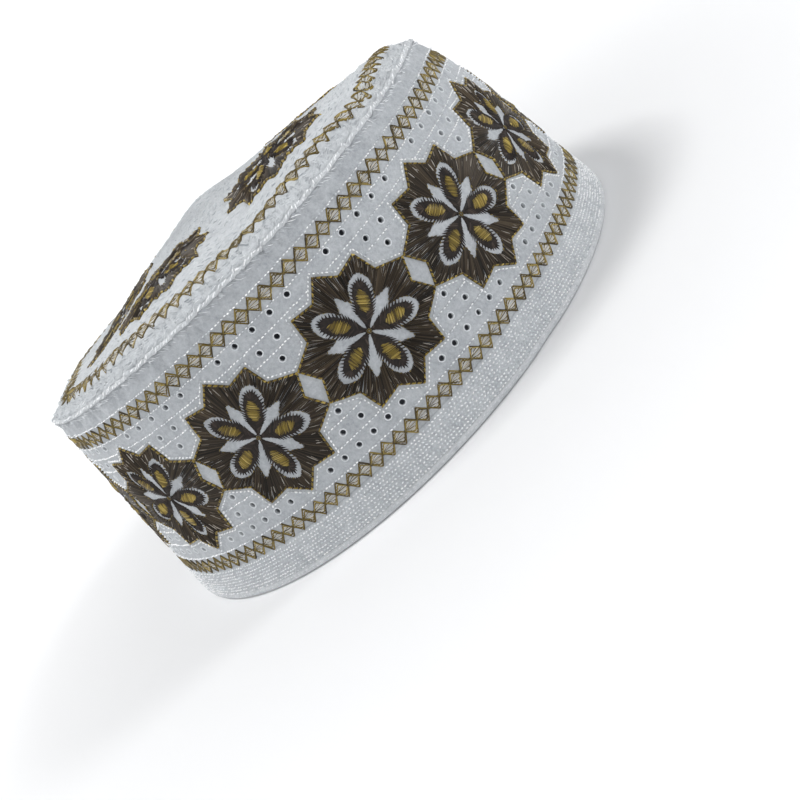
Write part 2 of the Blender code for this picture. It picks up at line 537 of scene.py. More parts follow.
@dataclass(frozen=True)
class ClothCutter:
    """Makes closed pieces of cloth that follow the cap's skin."""

    surface: CapSurface
    chart_radius: float = 0.088

    def shell(
        self,
        parts: MeshParts,
        flat: np.ndarray,
        faces: np.ndarray,
        rise: np.ndarray,
        wall: float,
        slots: tuple[int, int] = (0, 0),
    ) -> None:
        """Adds an outer skin, an inner skin and the walls along every free edge.

        Args:
            parts: Where the faces go.
            flat: Bearing in radians and run of each point, N by 2.
            faces: Triangles over those points, seen from outside.
            rise: The outer skin's height at each point.
            wall: The cloth's thickness.
            slots: The material slots of the outer and the inner skin.
        """
        outer = self.surface.place(flat[:, 0], flat[:, 1], rise)
        chart = np.stack([flat[:, 0] * self.chart_radius, flat[:, 1]], axis=-1)
        keys = np.round(outer * 1e6).astype(np.int64)
        _, first, number = np.unique(keys, axis=0, return_index=True, return_inverse=True)
        joined = number.reshape(-1)[faces]
        inner = self.surface.place(flat[first, 0], flat[first, 1], rise[first] - wall)
        whole = (
            (joined[:, 0] != joined[:, 1])
            & (joined[:, 1] != joined[:, 2])
            & (joined[:, 2] != joined[:, 0])
        )
        joined = joined[whole]
        corners = chart[faces[whole]]
        parts.add(outer[first], joined, slots[0], chart=corners)
        parts.add(inner, joined[:, ::-1], slots[1], chart=corners[:, ::-1])
        start = parts.count - 2 * len(first)
        edges = np.concatenate([joined[:, [0, 1]], joined[:, [1, 2]], joined[:, [2, 0]]])
        ends = np.concatenate([corners[:, [0, 1]], corners[:, [1, 2]], corners[:, [2, 0]]])
        names = np.sort(edges, axis=1)
        _, back, uses = np.unique(names, axis=0, return_inverse=True, return_counts=True)
        free = uses[back.reshape(-1)] == 1
        rim = edges[free]
        lower = len(first)
        quads = np.stack([rim[:, 1], rim[:, 0], rim[:, 0] + lower, rim[:, 1] + lower], axis=-1)
        sides = ends[free][:, [1, 0, 0, 1]]
        parts.faces.append(quads + start)
        parts.slots.append(np.full(len(quads), slots[0], dtype=np.int32))
        parts.charts.append(sides)

    def grid(self, runs: np.ndarray, around: int) -> tuple[np.ndarray, np.ndarray]:
        """Makes a plain ring of cloth between the first and the last run.

        Args:
            runs: The runs of its rows, rising.
            around: The number of steps round the cap.

        Returns:
            Bearing and run of each point, and the triangles.
        """
        bearings = np.linspace(-math.pi, math.pi, around + 1)
        flat = np.stack(np.meshgrid(bearings, runs), axis=-1).reshape(-1, 2)
        number = np.arange(len(flat)).reshape(len(runs), around + 1)
        low, high = number[:-1], number[1:]
        first = np.stack([low[:, :-1], low[:, 1:], high[:, 1:]], axis=-1)
        second = np.stack([low[:, :-1], high[:, 1:], high[:, :-1]], axis=-1)
        return flat, np.concatenate([first.reshape(-1, 3), second.reshape(-1, 3)])

    def ring(
        self, parts: MeshParts, profile: np.ndarray, around: int, kind: "Profile", slot: int = 0
    ) -> None:
        """Sweeps a closed profile once round the cap's axis.

        Args:
            parts: Where the faces go.
            profile: Its points, going down outside and up inside.
            around: The number of steps round the cap.
            kind: What the profile's two numbers are.
            slot: The material slot.
        """
        bearings = np.linspace(-math.pi, math.pi, around, endpoint=False)
        turned = np.broadcast_to(bearings[:, None], (around, len(profile)))
        first = np.broadcast_to(profile[None, :, 0], turned.shape)
        second = np.broadcast_to(profile[None, :, 1], turned.shape)
        if kind is Profile.UPRIGHT:
            points = self.surface.slouch.bend(turned, first, second)
        else:
            points = self.surface.place(turned, first, second)
        number = np.arange(around * len(profile)).reshape(around, len(profile))
        further = np.roll(number, -1, axis=1)
        faces = np.stack(
            [number, further, np.roll(further, -1, axis=0), np.roll(number, -1, axis=0)], axis=-1
        ).reshape(-1, 4)
        sizes = np.linalg.norm(np.diff(np.vstack([profile, profile[:1]]), axis=0), axis=1)
        reach = np.concatenate([[0.0], np.cumsum(sizes)])
        step = 2 * math.pi / around * self.chart_radius
        left = np.arange(around)[:, None] * step
        near, far = reach[None, :-1], reach[None, 1:]
        grids = [(left, near), (left, far), (left + step, far), (left + step, near)]
        corners = [np.stack(np.broadcast_arrays(a, b), axis=-1) for a, b in grids]
        chart = np.stack(corners, axis=-2).reshape(-1, 4, 2)
        parts.add(points.reshape(-1, 3), faces, slot, chart=chart)


# Shaders


Number = float | int


class Wire:
    """A shader socket that takes part in Python sums and products."""

    def __init__(self, graph: "Graph", socket: bpy.types.NodeSocket) -> None:
        """Keeps the socket and the graph that it belongs to."""
        self.graph = graph
        self.socket = socket

    def __add__(self, other: "Wire | Number") -> "Wire":
        """Adds a value."""
        return self.graph.maths("ADD", self, other)

    def __radd__(self, other: Number) -> "Wire":
        """Is added to a value."""
        return self.graph.maths("ADD", other, self)

    def __sub__(self, other: "Wire | Number") -> "Wire":
        """Takes a value away."""
        return self.graph.maths("SUBTRACT", self, other)

    def __rsub__(self, other: Number) -> "Wire":
        """Is taken away from a value."""
        return self.graph.maths("SUBTRACT", other, self)

    def __mul__(self, other: "Wire | Number") -> "Wire":
        """Multiplies by a value."""
        return self.graph.maths("MULTIPLY", self, other)

    def __rmul__(self, other: Number) -> "Wire":
        """Multiplies a value."""
        return self.graph.maths("MULTIPLY", other, self)

    def sine(self) -> "Wire":
        """The sine of the value, an angle in radians."""
        return self.graph.maths("SINE", self)

    def held(self) -> "Wire":
        """The value held between 0 and 1."""
        return self.graph.maths("MINIMUM", self.graph.maths("MAXIMUM", self, 0.0), 1.0)


Colour = tuple[float, float, float]


class Graph:
    """The nodes of one material."""

    def __init__(self, name: str) -> None:
        """Makes an empty material.

        Args:
            name: The material's name.
        """
        self.material = bpy.data.materials.new(name)
        self.material.use_nodes = True
        self.tree = self.material.node_tree
        self.tree.nodes.clear()

    def node(
        self, kind: str, settings: dict | None = None, sockets: dict | None = None
    ) -> bpy.types.Node:
        """Makes one node.

        Args:
            kind: The node's type.
            settings: Its own settings, set first; "stops" are a ramp's places and colours.
            sockets: Values or wires for its inputs, by name or number.

        Returns:
            The node.
        """
        made = self.tree.nodes.new(kind)
        for name, value in (settings or {}).items():
            if name == "stops":
                for element, (place, colour) in zip(self.stops(made, len(value)), value):
                    element.position = place
                    element.color = (*colour, 1.0)
            else:
                setattr(made, name, value)
        for name, value in (sockets or {}).items():
            entry = made.inputs[name]
            if isinstance(value, Wire):
                self.tree.links.new(value.socket, entry)
            elif isinstance(value, tuple) and entry.type == "RGBA":
                entry.default_value = (*value, 1.0)
            else:
                entry.default_value = value
        return made

    @staticmethod
    def stops(ramp: bpy.types.Node, count: int) -> list:
        """Gives a colour ramp the wished number of stops."""
        elements = ramp.color_ramp.elements
        while len(elements) < count:
            elements.new(1.0)
        return list(elements)

    def wire(self, node: bpy.types.Node, name: str | int) -> Wire:
        """One output of a node as a wire."""
        return Wire(self, node.outputs[name])

    def maths(self, operation: str, *values: "Wire | Number") -> Wire:
        """Adds one Math node.

        Args:
            operation: The node's operation.
            values: Its values, up to three.

        Returns:
            The result.
        """
        sockets = dict(enumerate(values))
        return self.wire(self.node("ShaderNodeMath", {"operation": operation}, sockets), 0)

    def blend(
        self, share: "Wire | Number", first: "Wire | Colour", second: "Wire | Colour"
    ) -> Wire:
        """Mixes two colours.

        Args:
            share: How much of the second colour there is.
            first: The first colour.
            second: The second colour.

        Returns:
            The mixed colour.
        """
        settings = {"data_type": "RGBA", "blend_type": "MIX"}
        made = self.node("ShaderNodeMix", settings, {0: share, 6: first, 7: second})
        return self.wire(made, 2)

    def ramp(self, value: Wire, stops: Sequence[tuple[float, Colour]]) -> Wire:
        """Turns a value into a colour along a ramp."""
        made = self.node("ShaderNodeValToRGB", {"stops": tuple(stops)}, {"Fac": value})
        return self.wire(made, "Color")

    def stored(self, name: str) -> tuple[Wire, Wire, Wire]:
        """The three numbers that a mesh keeps under a name."""
        made = self.node("ShaderNodeAttribute", {"attribute_name": name})
        split = self.node("ShaderNodeSeparateXYZ", None, {0: self.wire(made, "Vector")})
        return self.wire(split, 0), self.wire(split, 1), self.wire(split, 2)

    def noise(self, scale: float, detail: float = 2.0, roughness: float = 0.5) -> Wire:
        """Noise over the object's own space, around 0.5."""
        place = self.wire(self.node("ShaderNodeTexCoord"), "Object")
        sockets = {"Vector": place, "Scale": scale, "Detail": detail, "Roughness": roughness}
        return self.wire(self.node("ShaderNodeTexNoise", None, sockets), 0)

    def finish(
        self,
        colour: Wire,
        height: Wire,
        depth: float,
        roughness: "Wire | Number",
        constants: dict[str, Number | Colour],
    ) -> bpy.types.Material:
        """Ends the material in its surface shader.

        Args:
            colour: The base colour.
            height: The fine relief, from 0 to 1.
            depth: How deep the relief is, in metres.
            roughness: The roughness.
            constants: Values for the shader's own sockets that are the same all over.

        Returns:
            The material.
        """
        relief = {"Height": height, "Distance": depth, "Strength": 1.0}
        bump = self.node("ShaderNodeBump", None, relief)
        sockets = {"Base Color": colour, "Roughness": roughness, "Normal": self.wire(bump, 0)}
        shader = self.node("ShaderNodeBsdfPrincipled", None, {**sockets, **constants})
        self.node("ShaderNodeOutputMaterial", None, {"Surface": self.wire(shader, 0)})
        return self.material


@dataclass(frozen=True)
class ClothFinish:
    """White woven cotton, with its weave and uneven whiteness."""

    name: str
    light: Colour
    shade: Colour
    across_pitch: float = 0.00046
    up_pitch: float = 0.00046
    grain_scale: float = 950.0
    depth: float = 0.00020
    roughness: float = 0.88
    sheen: float = 0.20

    def material(self) -> bpy.types.Material:
        """Makes the material."""
        graph = Graph(self.name)
        across, up, _ = graph.stored("chart")
        warp = (across * (2 * math.pi / self.across_pitch)).sine()
        weft = (up * (2 * math.pi / self.up_pitch)).sine()
        weave = 0.5 + 0.5 * warp * weft
        cloudy = graph.noise(150.0, 2.0)
        grain = graph.noise(self.grain_scale, 3.0, 0.6)
        fibres = graph.noise(2600.0, 2.0, 0.6)
        patchy = 0.6 * cloudy + 1.1 * grain + 0.6 * fibres + 0.15 * weave - 0.75
        colour = graph.blend(patchy.held(), self.shade, self.light)
        height = 0.25 * weave + 0.25 * fibres + 0.50 * grain
        rough = self.roughness + 0.10 * (cloudy - 0.5)
        constants = {
            "Sheen Weight": self.sheen,
            "Sheen Roughness": 0.5,
            "Specular IOR Level": 0.30,
        }
        return graph.finish(colour, height, self.depth, rough, constants)


@dataclass(frozen=True)
class ThreadFinish:
    """Embroidery thread, whose colour follows each stitch's own tone, with painted shade that
    darkens each thread towards its edges and ends.
    """

    name: str
    dark: Colour
    middle: Colour
    light: Colour
    roughness: float = 0.50
    sheen: float = 0.10
    depth: float = 0.00003
    # How strongly painted shade darkens each thread's edges.
    edge: float = 0.45
    gloss: float = 0.0
    shine: float = 0.45

    def material(self) -> bpy.types.Material:
        """Makes the material."""
        graph = Graph(self.name)
        tone, along, across = graph.stored("tone")
        fibres = graph.noise(4200.0, 1.0, 0.5)
        share = (tone + 0.30 * (fibres - 0.5)).held()
        stops = ((0.0, self.dark), (0.5, self.middle), (1.0, self.light))
        thread = graph.ramp(share, stops)
        shaded = tuple(0.55 * part for part in self.dark)
        # Painted shade: darker towards each thread's edges, by the height share in its section,
        # and a little towards its ends.
        painted_edge_shade = (self.edge * (1.0 - across) + 0.10 * (1.0 - (along * math.pi).sine())).held()
        colour = graph.blend(painted_edge_shade, thread, shaded)
        rough = self.roughness + 0.20 * (fibres - 0.5)
        constants = {
            "Sheen Weight": self.sheen,
            "Sheen Roughness": 0.4,
            "Specular IOR Level": self.shine,
            "Coat Weight": self.gloss,
            "Coat Roughness": 0.22,
        }
        return graph.finish(colour, fibres, self.depth, rough, constants)


class Wardrobe:
    """The cap's finishes, made once and shared by its pieces."""

    def __init__(self) -> None:
        """Makes every material."""
        # The wall, hem and crown cotton are one white cloth darkened by different amounts as
        # painted shade: darkest on the wall, a little lighter on the hem, lightest on the crown,
        # all below the lining's white.
        self.wall = ClothFinish(
            "white_cotton_wall_painted_shade", (0.525, 0.546, 0.566), (0.270, 0.288, 0.312)
        ).material()
        self.hem = ClothFinish(
            "white_cotton_hem_painted_shade", (0.575, 0.598, 0.618), (0.30, 0.32, 0.345)
        ).material()
        self.crown = ClothFinish(
            "white_cotton_crown_painted_shade", (0.67, 0.695, 0.71), (0.38, 0.40, 0.425)
        ).material()
        self.lining = ClothFinish(
            "white_cotton_lining", (0.80, 0.81, 0.82), (0.68, 0.69, 0.71)
        ).material()
        self.fold = ClothFinish(
            "white_fold_binding",
            (0.68, 0.70, 0.715),
            (0.38, 0.40, 0.42),
            across_pitch=0.0009,
            up_pitch=0.00032,
            grain_scale=700.0,
        ).material()
        # The pearl thread's range from grey to pure white holds painted glints as well as its own
        # tone.
        self.pearl = ThreadFinish(
            "white_pearl_thread_and_painted_glints",
            (0.54, 0.57, 0.60),
            (0.90, 0.92, 0.94),
            (1.0, 1.0, 1.0),
            roughness=0.24,
            sheen=0.2,
            edge=0.25,
            gloss=0.8,
        ).material()
        self.rim = ThreadFinish(
            "white_eyelet_thread",
            (0.36, 0.39, 0.42),
            (0.60, 0.63, 0.65),
            (0.72, 0.74, 0.76),
            roughness=0.6,
            edge=0.3,
        ).material()
        self.brown = ThreadFinish(
            "olive_brown_silk",
            (0.009, 0.006, 0.003),
            (0.052, 0.036, 0.021),
            (0.128, 0.096, 0.060),
            roughness=0.44,
            sheen=0.02,
            shine=0.32,
        ).material()
        self.petal = ThreadFinish(
            "dark_brown_silk",
            (0.008, 0.005, 0.004),
            (0.024, 0.015, 0.011),
            (0.075, 0.055, 0.042),
            roughness=0.48,
            sheen=0.02,
            shine=0.30,
        ).material()
        self.gold = ThreadFinish(
            "old_gold_silk",
            (0.075, 0.048, 0.006),
            (0.29, 0.205, 0.024),
            (0.74, 0.57, 0.16),
            roughness=0.34,
        ).material()
        self.olive = ThreadFinish(
            "olive_gold_silk",
            (0.036, 0.023, 0.003),
            (0.165, 0.114, 0.014),
            (0.46, 0.35, 0.095),
            roughness=0.40,
        ).material()
        self.straw = ThreadFinish(
            "straw_silk", (0.34, 0.31, 0.25), (0.55, 0.52, 0.45), (0.70, 0.68, 0.63)
        ).material()
        # The pale silk of the satin's streaks is painted sheen.
        self.pale = ThreadFinish(
            "painted_sheen_silk",
            (0.16, 0.13, 0.10),
            (0.38, 0.33, 0.27),
            (0.70, 0.66, 0.60),
            roughness=0.36,
        ).material()


# The cloth pieces


def declare(piece: bpy.types.Object, slot: str | None, *nodes: str) -> None:
    """Attaches a piece to what it rides on, hides the frame's nodes that it stands for and logs
    its size.
    """
    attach(piece, BODY)
    if nodes:
        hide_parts(*nodes)
    LOG.info("%s: %d faces", piece.name, len(piece.data.polygons))


@dataclass(frozen=True)
class Eyelet:
    """One eyelet of a gap between stars: run, and way across from the gap's middle."""

    run: float
    across: float


@dataclass(frozen=True)
class CapPlan:
    """Where the stars, the gaps and the eyelets are on the cap."""

    surface: CapSurface
    stars: int = 13
    first_bearing: float = 58.2
    star_run: float = 0.0404
    top_reach: float = 0.0473
    top_bearings: tuple[float, ...] = (27.4, -32.6, -92.6, -152.6, 147.4, 87.4)
    eyelet_radius: float = 0.00080
    rows: tuple[tuple[float, int, float], ...] = (
        (0.0630, 5, 0.0066),
        (0.0571, 2, 0.0066),
        (0.0519, 1, 0.0066),
        (0.0313, 1, 0.0066),
        (0.0261, 2, 0.0068),
        (0.0206, 6, 0.0055),
    )

    @property
    def step(self) -> float:
        """The bearing from one star to the next, in degrees."""
        return 360.0 / self.stars

    def star_bearing(self, number: int) -> float:
        """The bearing of one star, in degrees."""
        return self.first_bearing - number * self.step

    def gap_eyelets(self) -> list[Eyelet]:
        """The eyelets of one gap."""
        return [
            Eyelet(run, (place - (count - 1) / 2) * spacing)
            for run, count, spacing in self.rows
            for place in range(count)
        ]


@dataclass(frozen=True)
class StarShape:
    """The star's outline and the edge of the white flower inside it, in shares of its reach."""

    reach: float = 0.0208
    tips: int = 10
    leaves: int = 5
    side_turn: float = 16.0
    side_reach: float = 1.056
    notch: float = 0.80
    side_notch: float = 0.86
    leaf_edge: tuple[tuple[float, float], ...] = (
        (0.0, 0.600),
        (2.5, 0.580),
        (4.5, 0.535),
        (7.0, 0.485),
        (9.5, 0.462),
        (12.5, 0.440),
        (13.5, 0.405),
        (15.0, 0.430),
        (17.0, 0.500),
        (20.0, 0.585),
        (24.0, 0.655),
        (28.0, 0.700),
        (32.0, 0.732),
        (36.0, 0.750),
    )

    def corners(self) -> tuple[np.ndarray, np.ndarray]:
        """The outline's corners, by angle in degrees from the right and distance in metres."""
        turns, shares = [], []
        half_step = 180.0 / self.tips
        for number in range(self.tips):
            tip = (2 * number + 1) * half_step
            side = 180.0 * round(tip / 180.0)
            if abs(tip - side) < 1.5 * half_step:
                turns.append(side + math.copysign(self.side_turn, tip - side))
                shares.append(self.side_reach)
            else:
                turns.append(tip)
                shares.append(1.0)
            dip = tip + half_step
            turns.append(dip)
            shares.append(self.side_notch if dip % 180.0 == 0.0 else self.notch)
        order = np.argsort(np.array(turns) % 360.0)
        return (np.array(turns) % 360.0)[order], np.array(shares)[order] * self.reach

    def points(self) -> np.ndarray:
        """The outline's corners as flat points."""
        turns, sizes = self.corners()
        angle = np.radians(turns)
        return np.stack([sizes * np.cos(angle), sizes * np.sin(angle)], axis=-1)

    def edge(self, angle: np.ndarray) -> np.ndarray:
        """The outline's distance from the middle.

        Args:
            angle: Angles in radians from the right.

        Returns:
            Distances in metres.
        """
        turns, sizes = self.corners()
        turn = np.degrees(angle) % 360.0
        number = np.searchsorted(turns, turn, side="right")
        before, after = (number - 1) % len(turns), number % len(turns)
        width = np.radians((turns[after] - turns[before]) % 360.0)
        part = np.radians((turn - turns[before]) % 360.0)
        top = sizes[before] * sizes[after] * np.sin(width)
        return top / (sizes[before] * np.sin(part) + sizes[after] * np.sin(width - part) + 1e-12)

    def inner_edge(self, angle: np.ndarray, turned: float) -> np.ndarray:
        """The white flower's edge as a distance from the middle.

        Args:
            angle: Angles in radians from the right.
            turned: The flower's own turn in degrees.

        Returns:
            Distances in metres.
        """
        step = 360.0 / self.leaves
        away = np.abs((np.degrees(angle) - turned - 90.0 + step / 2) % step - step / 2)
        table = np.array(self.leaf_edge)
        return np.interp(away, table[:, 0], table[:, 1]) * self.reach


@dataclass(frozen=True)
class RimFold:
    """The turned-up fold that the cap stands on."""

    cutter: ClothCutter
    top: float = 0.0024
    rise: float = 0.0003
    wall: float = 0.0032
    around: int = 360

    def build(self, wardrobe: Wardrobe) -> bpy.types.Object:
        """Makes the fold.

        Args:
            wardrobe: The finishes.

        Returns:
            The piece.
        """
        surface = self.cutter.surface
        outer = [(0.0, self.top), (0.0002, 0.0019), (self.rise, 0.0013), (0.0001, 0.0006)]
        outer += [(-0.0004, 0.0002), (-0.0010, 0.0)]
        inner = [(-0.0024, 0.0), (-0.0029, 0.0003), (-0.0032, 0.0009), (-0.0032, self.top)]
        profile = [
            (surface.rim_radius - surface.wall_lean * up + out, up) for out, up in outer + inner
        ]
        parts = MeshParts()
        self.cutter.ring(parts, np.array(profile), self.around, Profile.UPRIGHT)
        piece = parts.build("rim_fold_cloth", [wardrobe.fold])
        declare(piece, "white_fold", "rim_fold")
        return piece


@dataclass(frozen=True)
class HemBand:
    """The stitched band of doubled cloth above the rim."""

    cutter: ClothCutter
    start: float = 0.0021
    end: float = 0.0119
    wall: float = 0.0024
    row_pitch: float = 0.00098
    rib_height: float = 0.00010
    skin_height: float = 0.00012
    edge_drop: float = 0.00026
    edge_reach: float = 0.0006
    rows: int = 41
    around: int = 320

    def rise(self, run: np.ndarray) -> np.ndarray:
        """The band's height over the skin: soft ribs between the stitched rows."""
        ribs = self.rib_height * np.cos(2 * math.pi * (run - self.start) / self.row_pitch)
        edge = np.minimum(run - self.start, self.end - run) / self.edge_reach
        return self.skin_height + ribs - self.edge_drop * (1 - smooth_step(edge))

    def build(self, wardrobe: Wardrobe) -> bpy.types.Object:
        """Makes the band.

        Args:
            wardrobe: The finishes.

        Returns:
            The piece.
        """
        runs = np.linspace(self.start, self.end, self.rows)
        flat, faces = self.cutter.grid(runs, self.around)
        parts = MeshParts()
        self.cutter.shell(parts, flat, faces, self.rise(flat[:, 1]), self.wall, (0, 1))
        piece = parts.build("hem_band_cloth", [wardrobe.hem, wardrobe.lining])
        declare(piece, "white_cotton", "hem_band")
        return piece


@dataclass(frozen=True)
class SideBand:
    """The wall's cloth, with every eyelet cut through."""

    cutter: ClothCutter
    plan: CapPlan
    start: float = 0.0114
    end: float = 0.0760
    wall: float = 0.0018
    pitch: float = 0.00135
    hole_steps: int = 16
    hole_collar: float = 1.9
    hole_room: float = 2.3
    rib_start: float = 0.0173
    rib_pitch: float = 0.0058
    rib_depth: float = 0.00010
    sunk: float = 0.00006

    def sector(self) -> tuple[np.ndarray, np.ndarray]:
        """Cuts the cloth between two star middles.

        Returns:
            Bearing from the gap's middle in radians and run of each point, and the triangles.
        """
        scale = self.cutter.chart_radius
        half = math.radians(self.plan.step) / 2 * scale
        columns = round(2 * half / self.pitch)
        rows = round((self.end - self.start) / self.pitch)
        across = np.linspace(-half, half, columns + 1)
        up = np.linspace(self.start, self.end, rows + 1)
        grid = np.stack(np.meshgrid(across, up), axis=-1).reshape(-1, 2)
        points, edges = [], []
        turns = np.arange(self.hole_steps) * 2 * math.pi / self.hole_steps
        circle = np.stack([np.cos(turns), np.sin(turns)], axis=-1)
        holes = self.plan.gap_eyelets()
        middles = np.array(
            [
                (hole.across * scale / self.cutter.surface.radius_at(hole.run), hole.run)
                for hole in holes
            ]
        )
        near = np.linalg.norm(grid[:, None, :] - middles[None], axis=-1).min(axis=1)
        count = 0
        for middle in middles:
            points.append(middle + circle * self.plan.eyelet_radius)
            numbers = [count + step for step in range(self.hole_steps)]
            edges += list(zip(numbers, numbers[1:] + numbers[:1]))
            count += self.hole_steps
            points.append(middle + circle[::2] * self.plan.eyelet_radius * self.hole_collar)
            count += self.hole_steps // 2
        points.append(grid[near > self.plan.eyelet_radius * self.hole_room])
        flat = np.concatenate(points)
        result = delaunay_2d_cdt([Vector(point) for point in flat], edges, [], 0, 1e-7)
        flat = np.array([tuple(point) for point in result[0]])
        faces = np.array(result[2])
        centre = flat[faces].mean(axis=1)
        near = np.linalg.norm(centre[:, None, :] - middles[None], axis=-1).min(axis=1)
        faces = faces[near > self.plan.eyelet_radius * 0.99]
        first, second, third = (flat[faces[:, corner]] for corner in range(3))
        one, two = second - first, third - first
        turned = one[:, 0] * two[:, 1] - one[:, 1] * two[:, 0]
        faces[turned < 0] = faces[turned < 0][:, ::-1]
        return np.stack([flat[:, 0] / scale, flat[:, 1]], axis=-1), faces

    def rise(self, flat: np.ndarray) -> np.ndarray:
        """The cloth's height over the skin: soft ribs between the lines of stitches."""
        ribs = np.cos(2 * math.pi * (flat[:, 1] - self.rib_start) / self.rib_pitch)
        return -self.sunk - self.rib_depth * (0.5 + 0.5 * ribs) ** 6

    def build(self, wardrobe: Wardrobe) -> bpy.types.Object:
        """Makes the wall.

        Args:
            wardrobe: The finishes.

        Returns:
            The piece.
        """
        flat, faces = self.sector()
        whole, joined = [], []
        for number in range(self.plan.stars):
            gap = number - self.plan.stars / 2
            middle = math.radians(self.plan.first_bearing + gap * self.plan.step)
            whole.append(flat + np.array([middle, 0.0]))
            joined.append(faces + number * len(flat))
        flat = np.concatenate(whole)
        parts = MeshParts()
        self.cutter.shell(parts, flat, np.concatenate(joined), self.rise(flat), self.wall, (0, 1))
        piece = parts.build("side_band_cloth", [wardrobe.wall, wardrobe.lining])
        declare(piece, "white_cotton", "side_band")
        return piece


@dataclass(frozen=True)
class CrownSeam:
    """The rolled seam where the top is sewn to the wall."""

    cutter: ClothCutter
    start: float = 0.0757
    end: float = 0.0772
    rise: float = 0.0003
    sunk: float = 0.0003
    wall: float = 0.0022
    around: int = 480

    def build(self, wardrobe: Wardrobe) -> bpy.types.Object:
        """Makes the roll.

        Args:
            wardrobe: The finishes.

        Returns:
            The piece.
        """
        share = np.linspace(0.0, 1.0, 8)[::-1]
        runs = self.start + (self.end - self.start) * share
        arch = np.sqrt(np.maximum(0.0, 1 - (2 * share - 1) ** 2))
        swell = -self.sunk + (self.rise + self.sunk) * arch
        outer = np.stack([runs, swell], axis=-1)
        inner = np.array([(self.start, -self.wall), (self.end, -self.wall)])
        parts = MeshParts()
        self.cutter.ring(parts, np.concatenate([outer, inner]), self.around, Profile.SKIN)
        piece = parts.build("crown_seam_roll", [wardrobe.fold])
        declare(piece, "white_fold", "crown_seam")
        return piece


@dataclass(frozen=True)
class TopPanel:
    """The round top cloth, from the seam to its middle."""

    cutter: ClothCutter
    start: float = 0.0770
    wall: float = 0.0022
    rib_pitch: float = 0.0044
    rib_depth: float = 0.00011
    sunk: float = 0.00006
    plain_middle: float = 0.010
    gathered: float = 0.0140
    gathered_rows: int = 13
    loose_rows: int = 46
    around: int = 420

    def rise(self, flat: np.ndarray) -> np.ndarray:
        """The cloth's height over the skin: low ribs between its rings of stitches."""
        ribs = np.cos(2 * math.pi * (flat[:, 1] - self.start) / self.rib_pitch)
        reach = self.cutter.surface.length - flat[:, 1]
        return -self.sunk - self.rib_depth * ribs * np.minimum(1.0, reach / self.plain_middle)

    def build(self, wardrobe: Wardrobe) -> bpy.types.Object:
        """Makes the top.

        Args:
            wardrobe: The finishes.

        Returns:
            The piece.
        """
        reach = self.cutter.surface.length - self.start
        near = np.linspace(0.0, self.gathered, self.gathered_rows)
        loose = np.linspace(self.gathered, reach, self.loose_rows)[1:]
        runs = self.start + np.append(near, loose)
        flat, faces = self.cutter.grid(runs, self.around)
        parts = MeshParts()
        self.cutter.shell(parts, flat, faces, self.rise(flat), self.wall, (0, 1))
        piece = parts.build("top_panel_cloth", [wardrobe.crown, wardrobe.lining])
        declare(piece, "white_cotton", "top_panel")
        return piece


# The embroidery


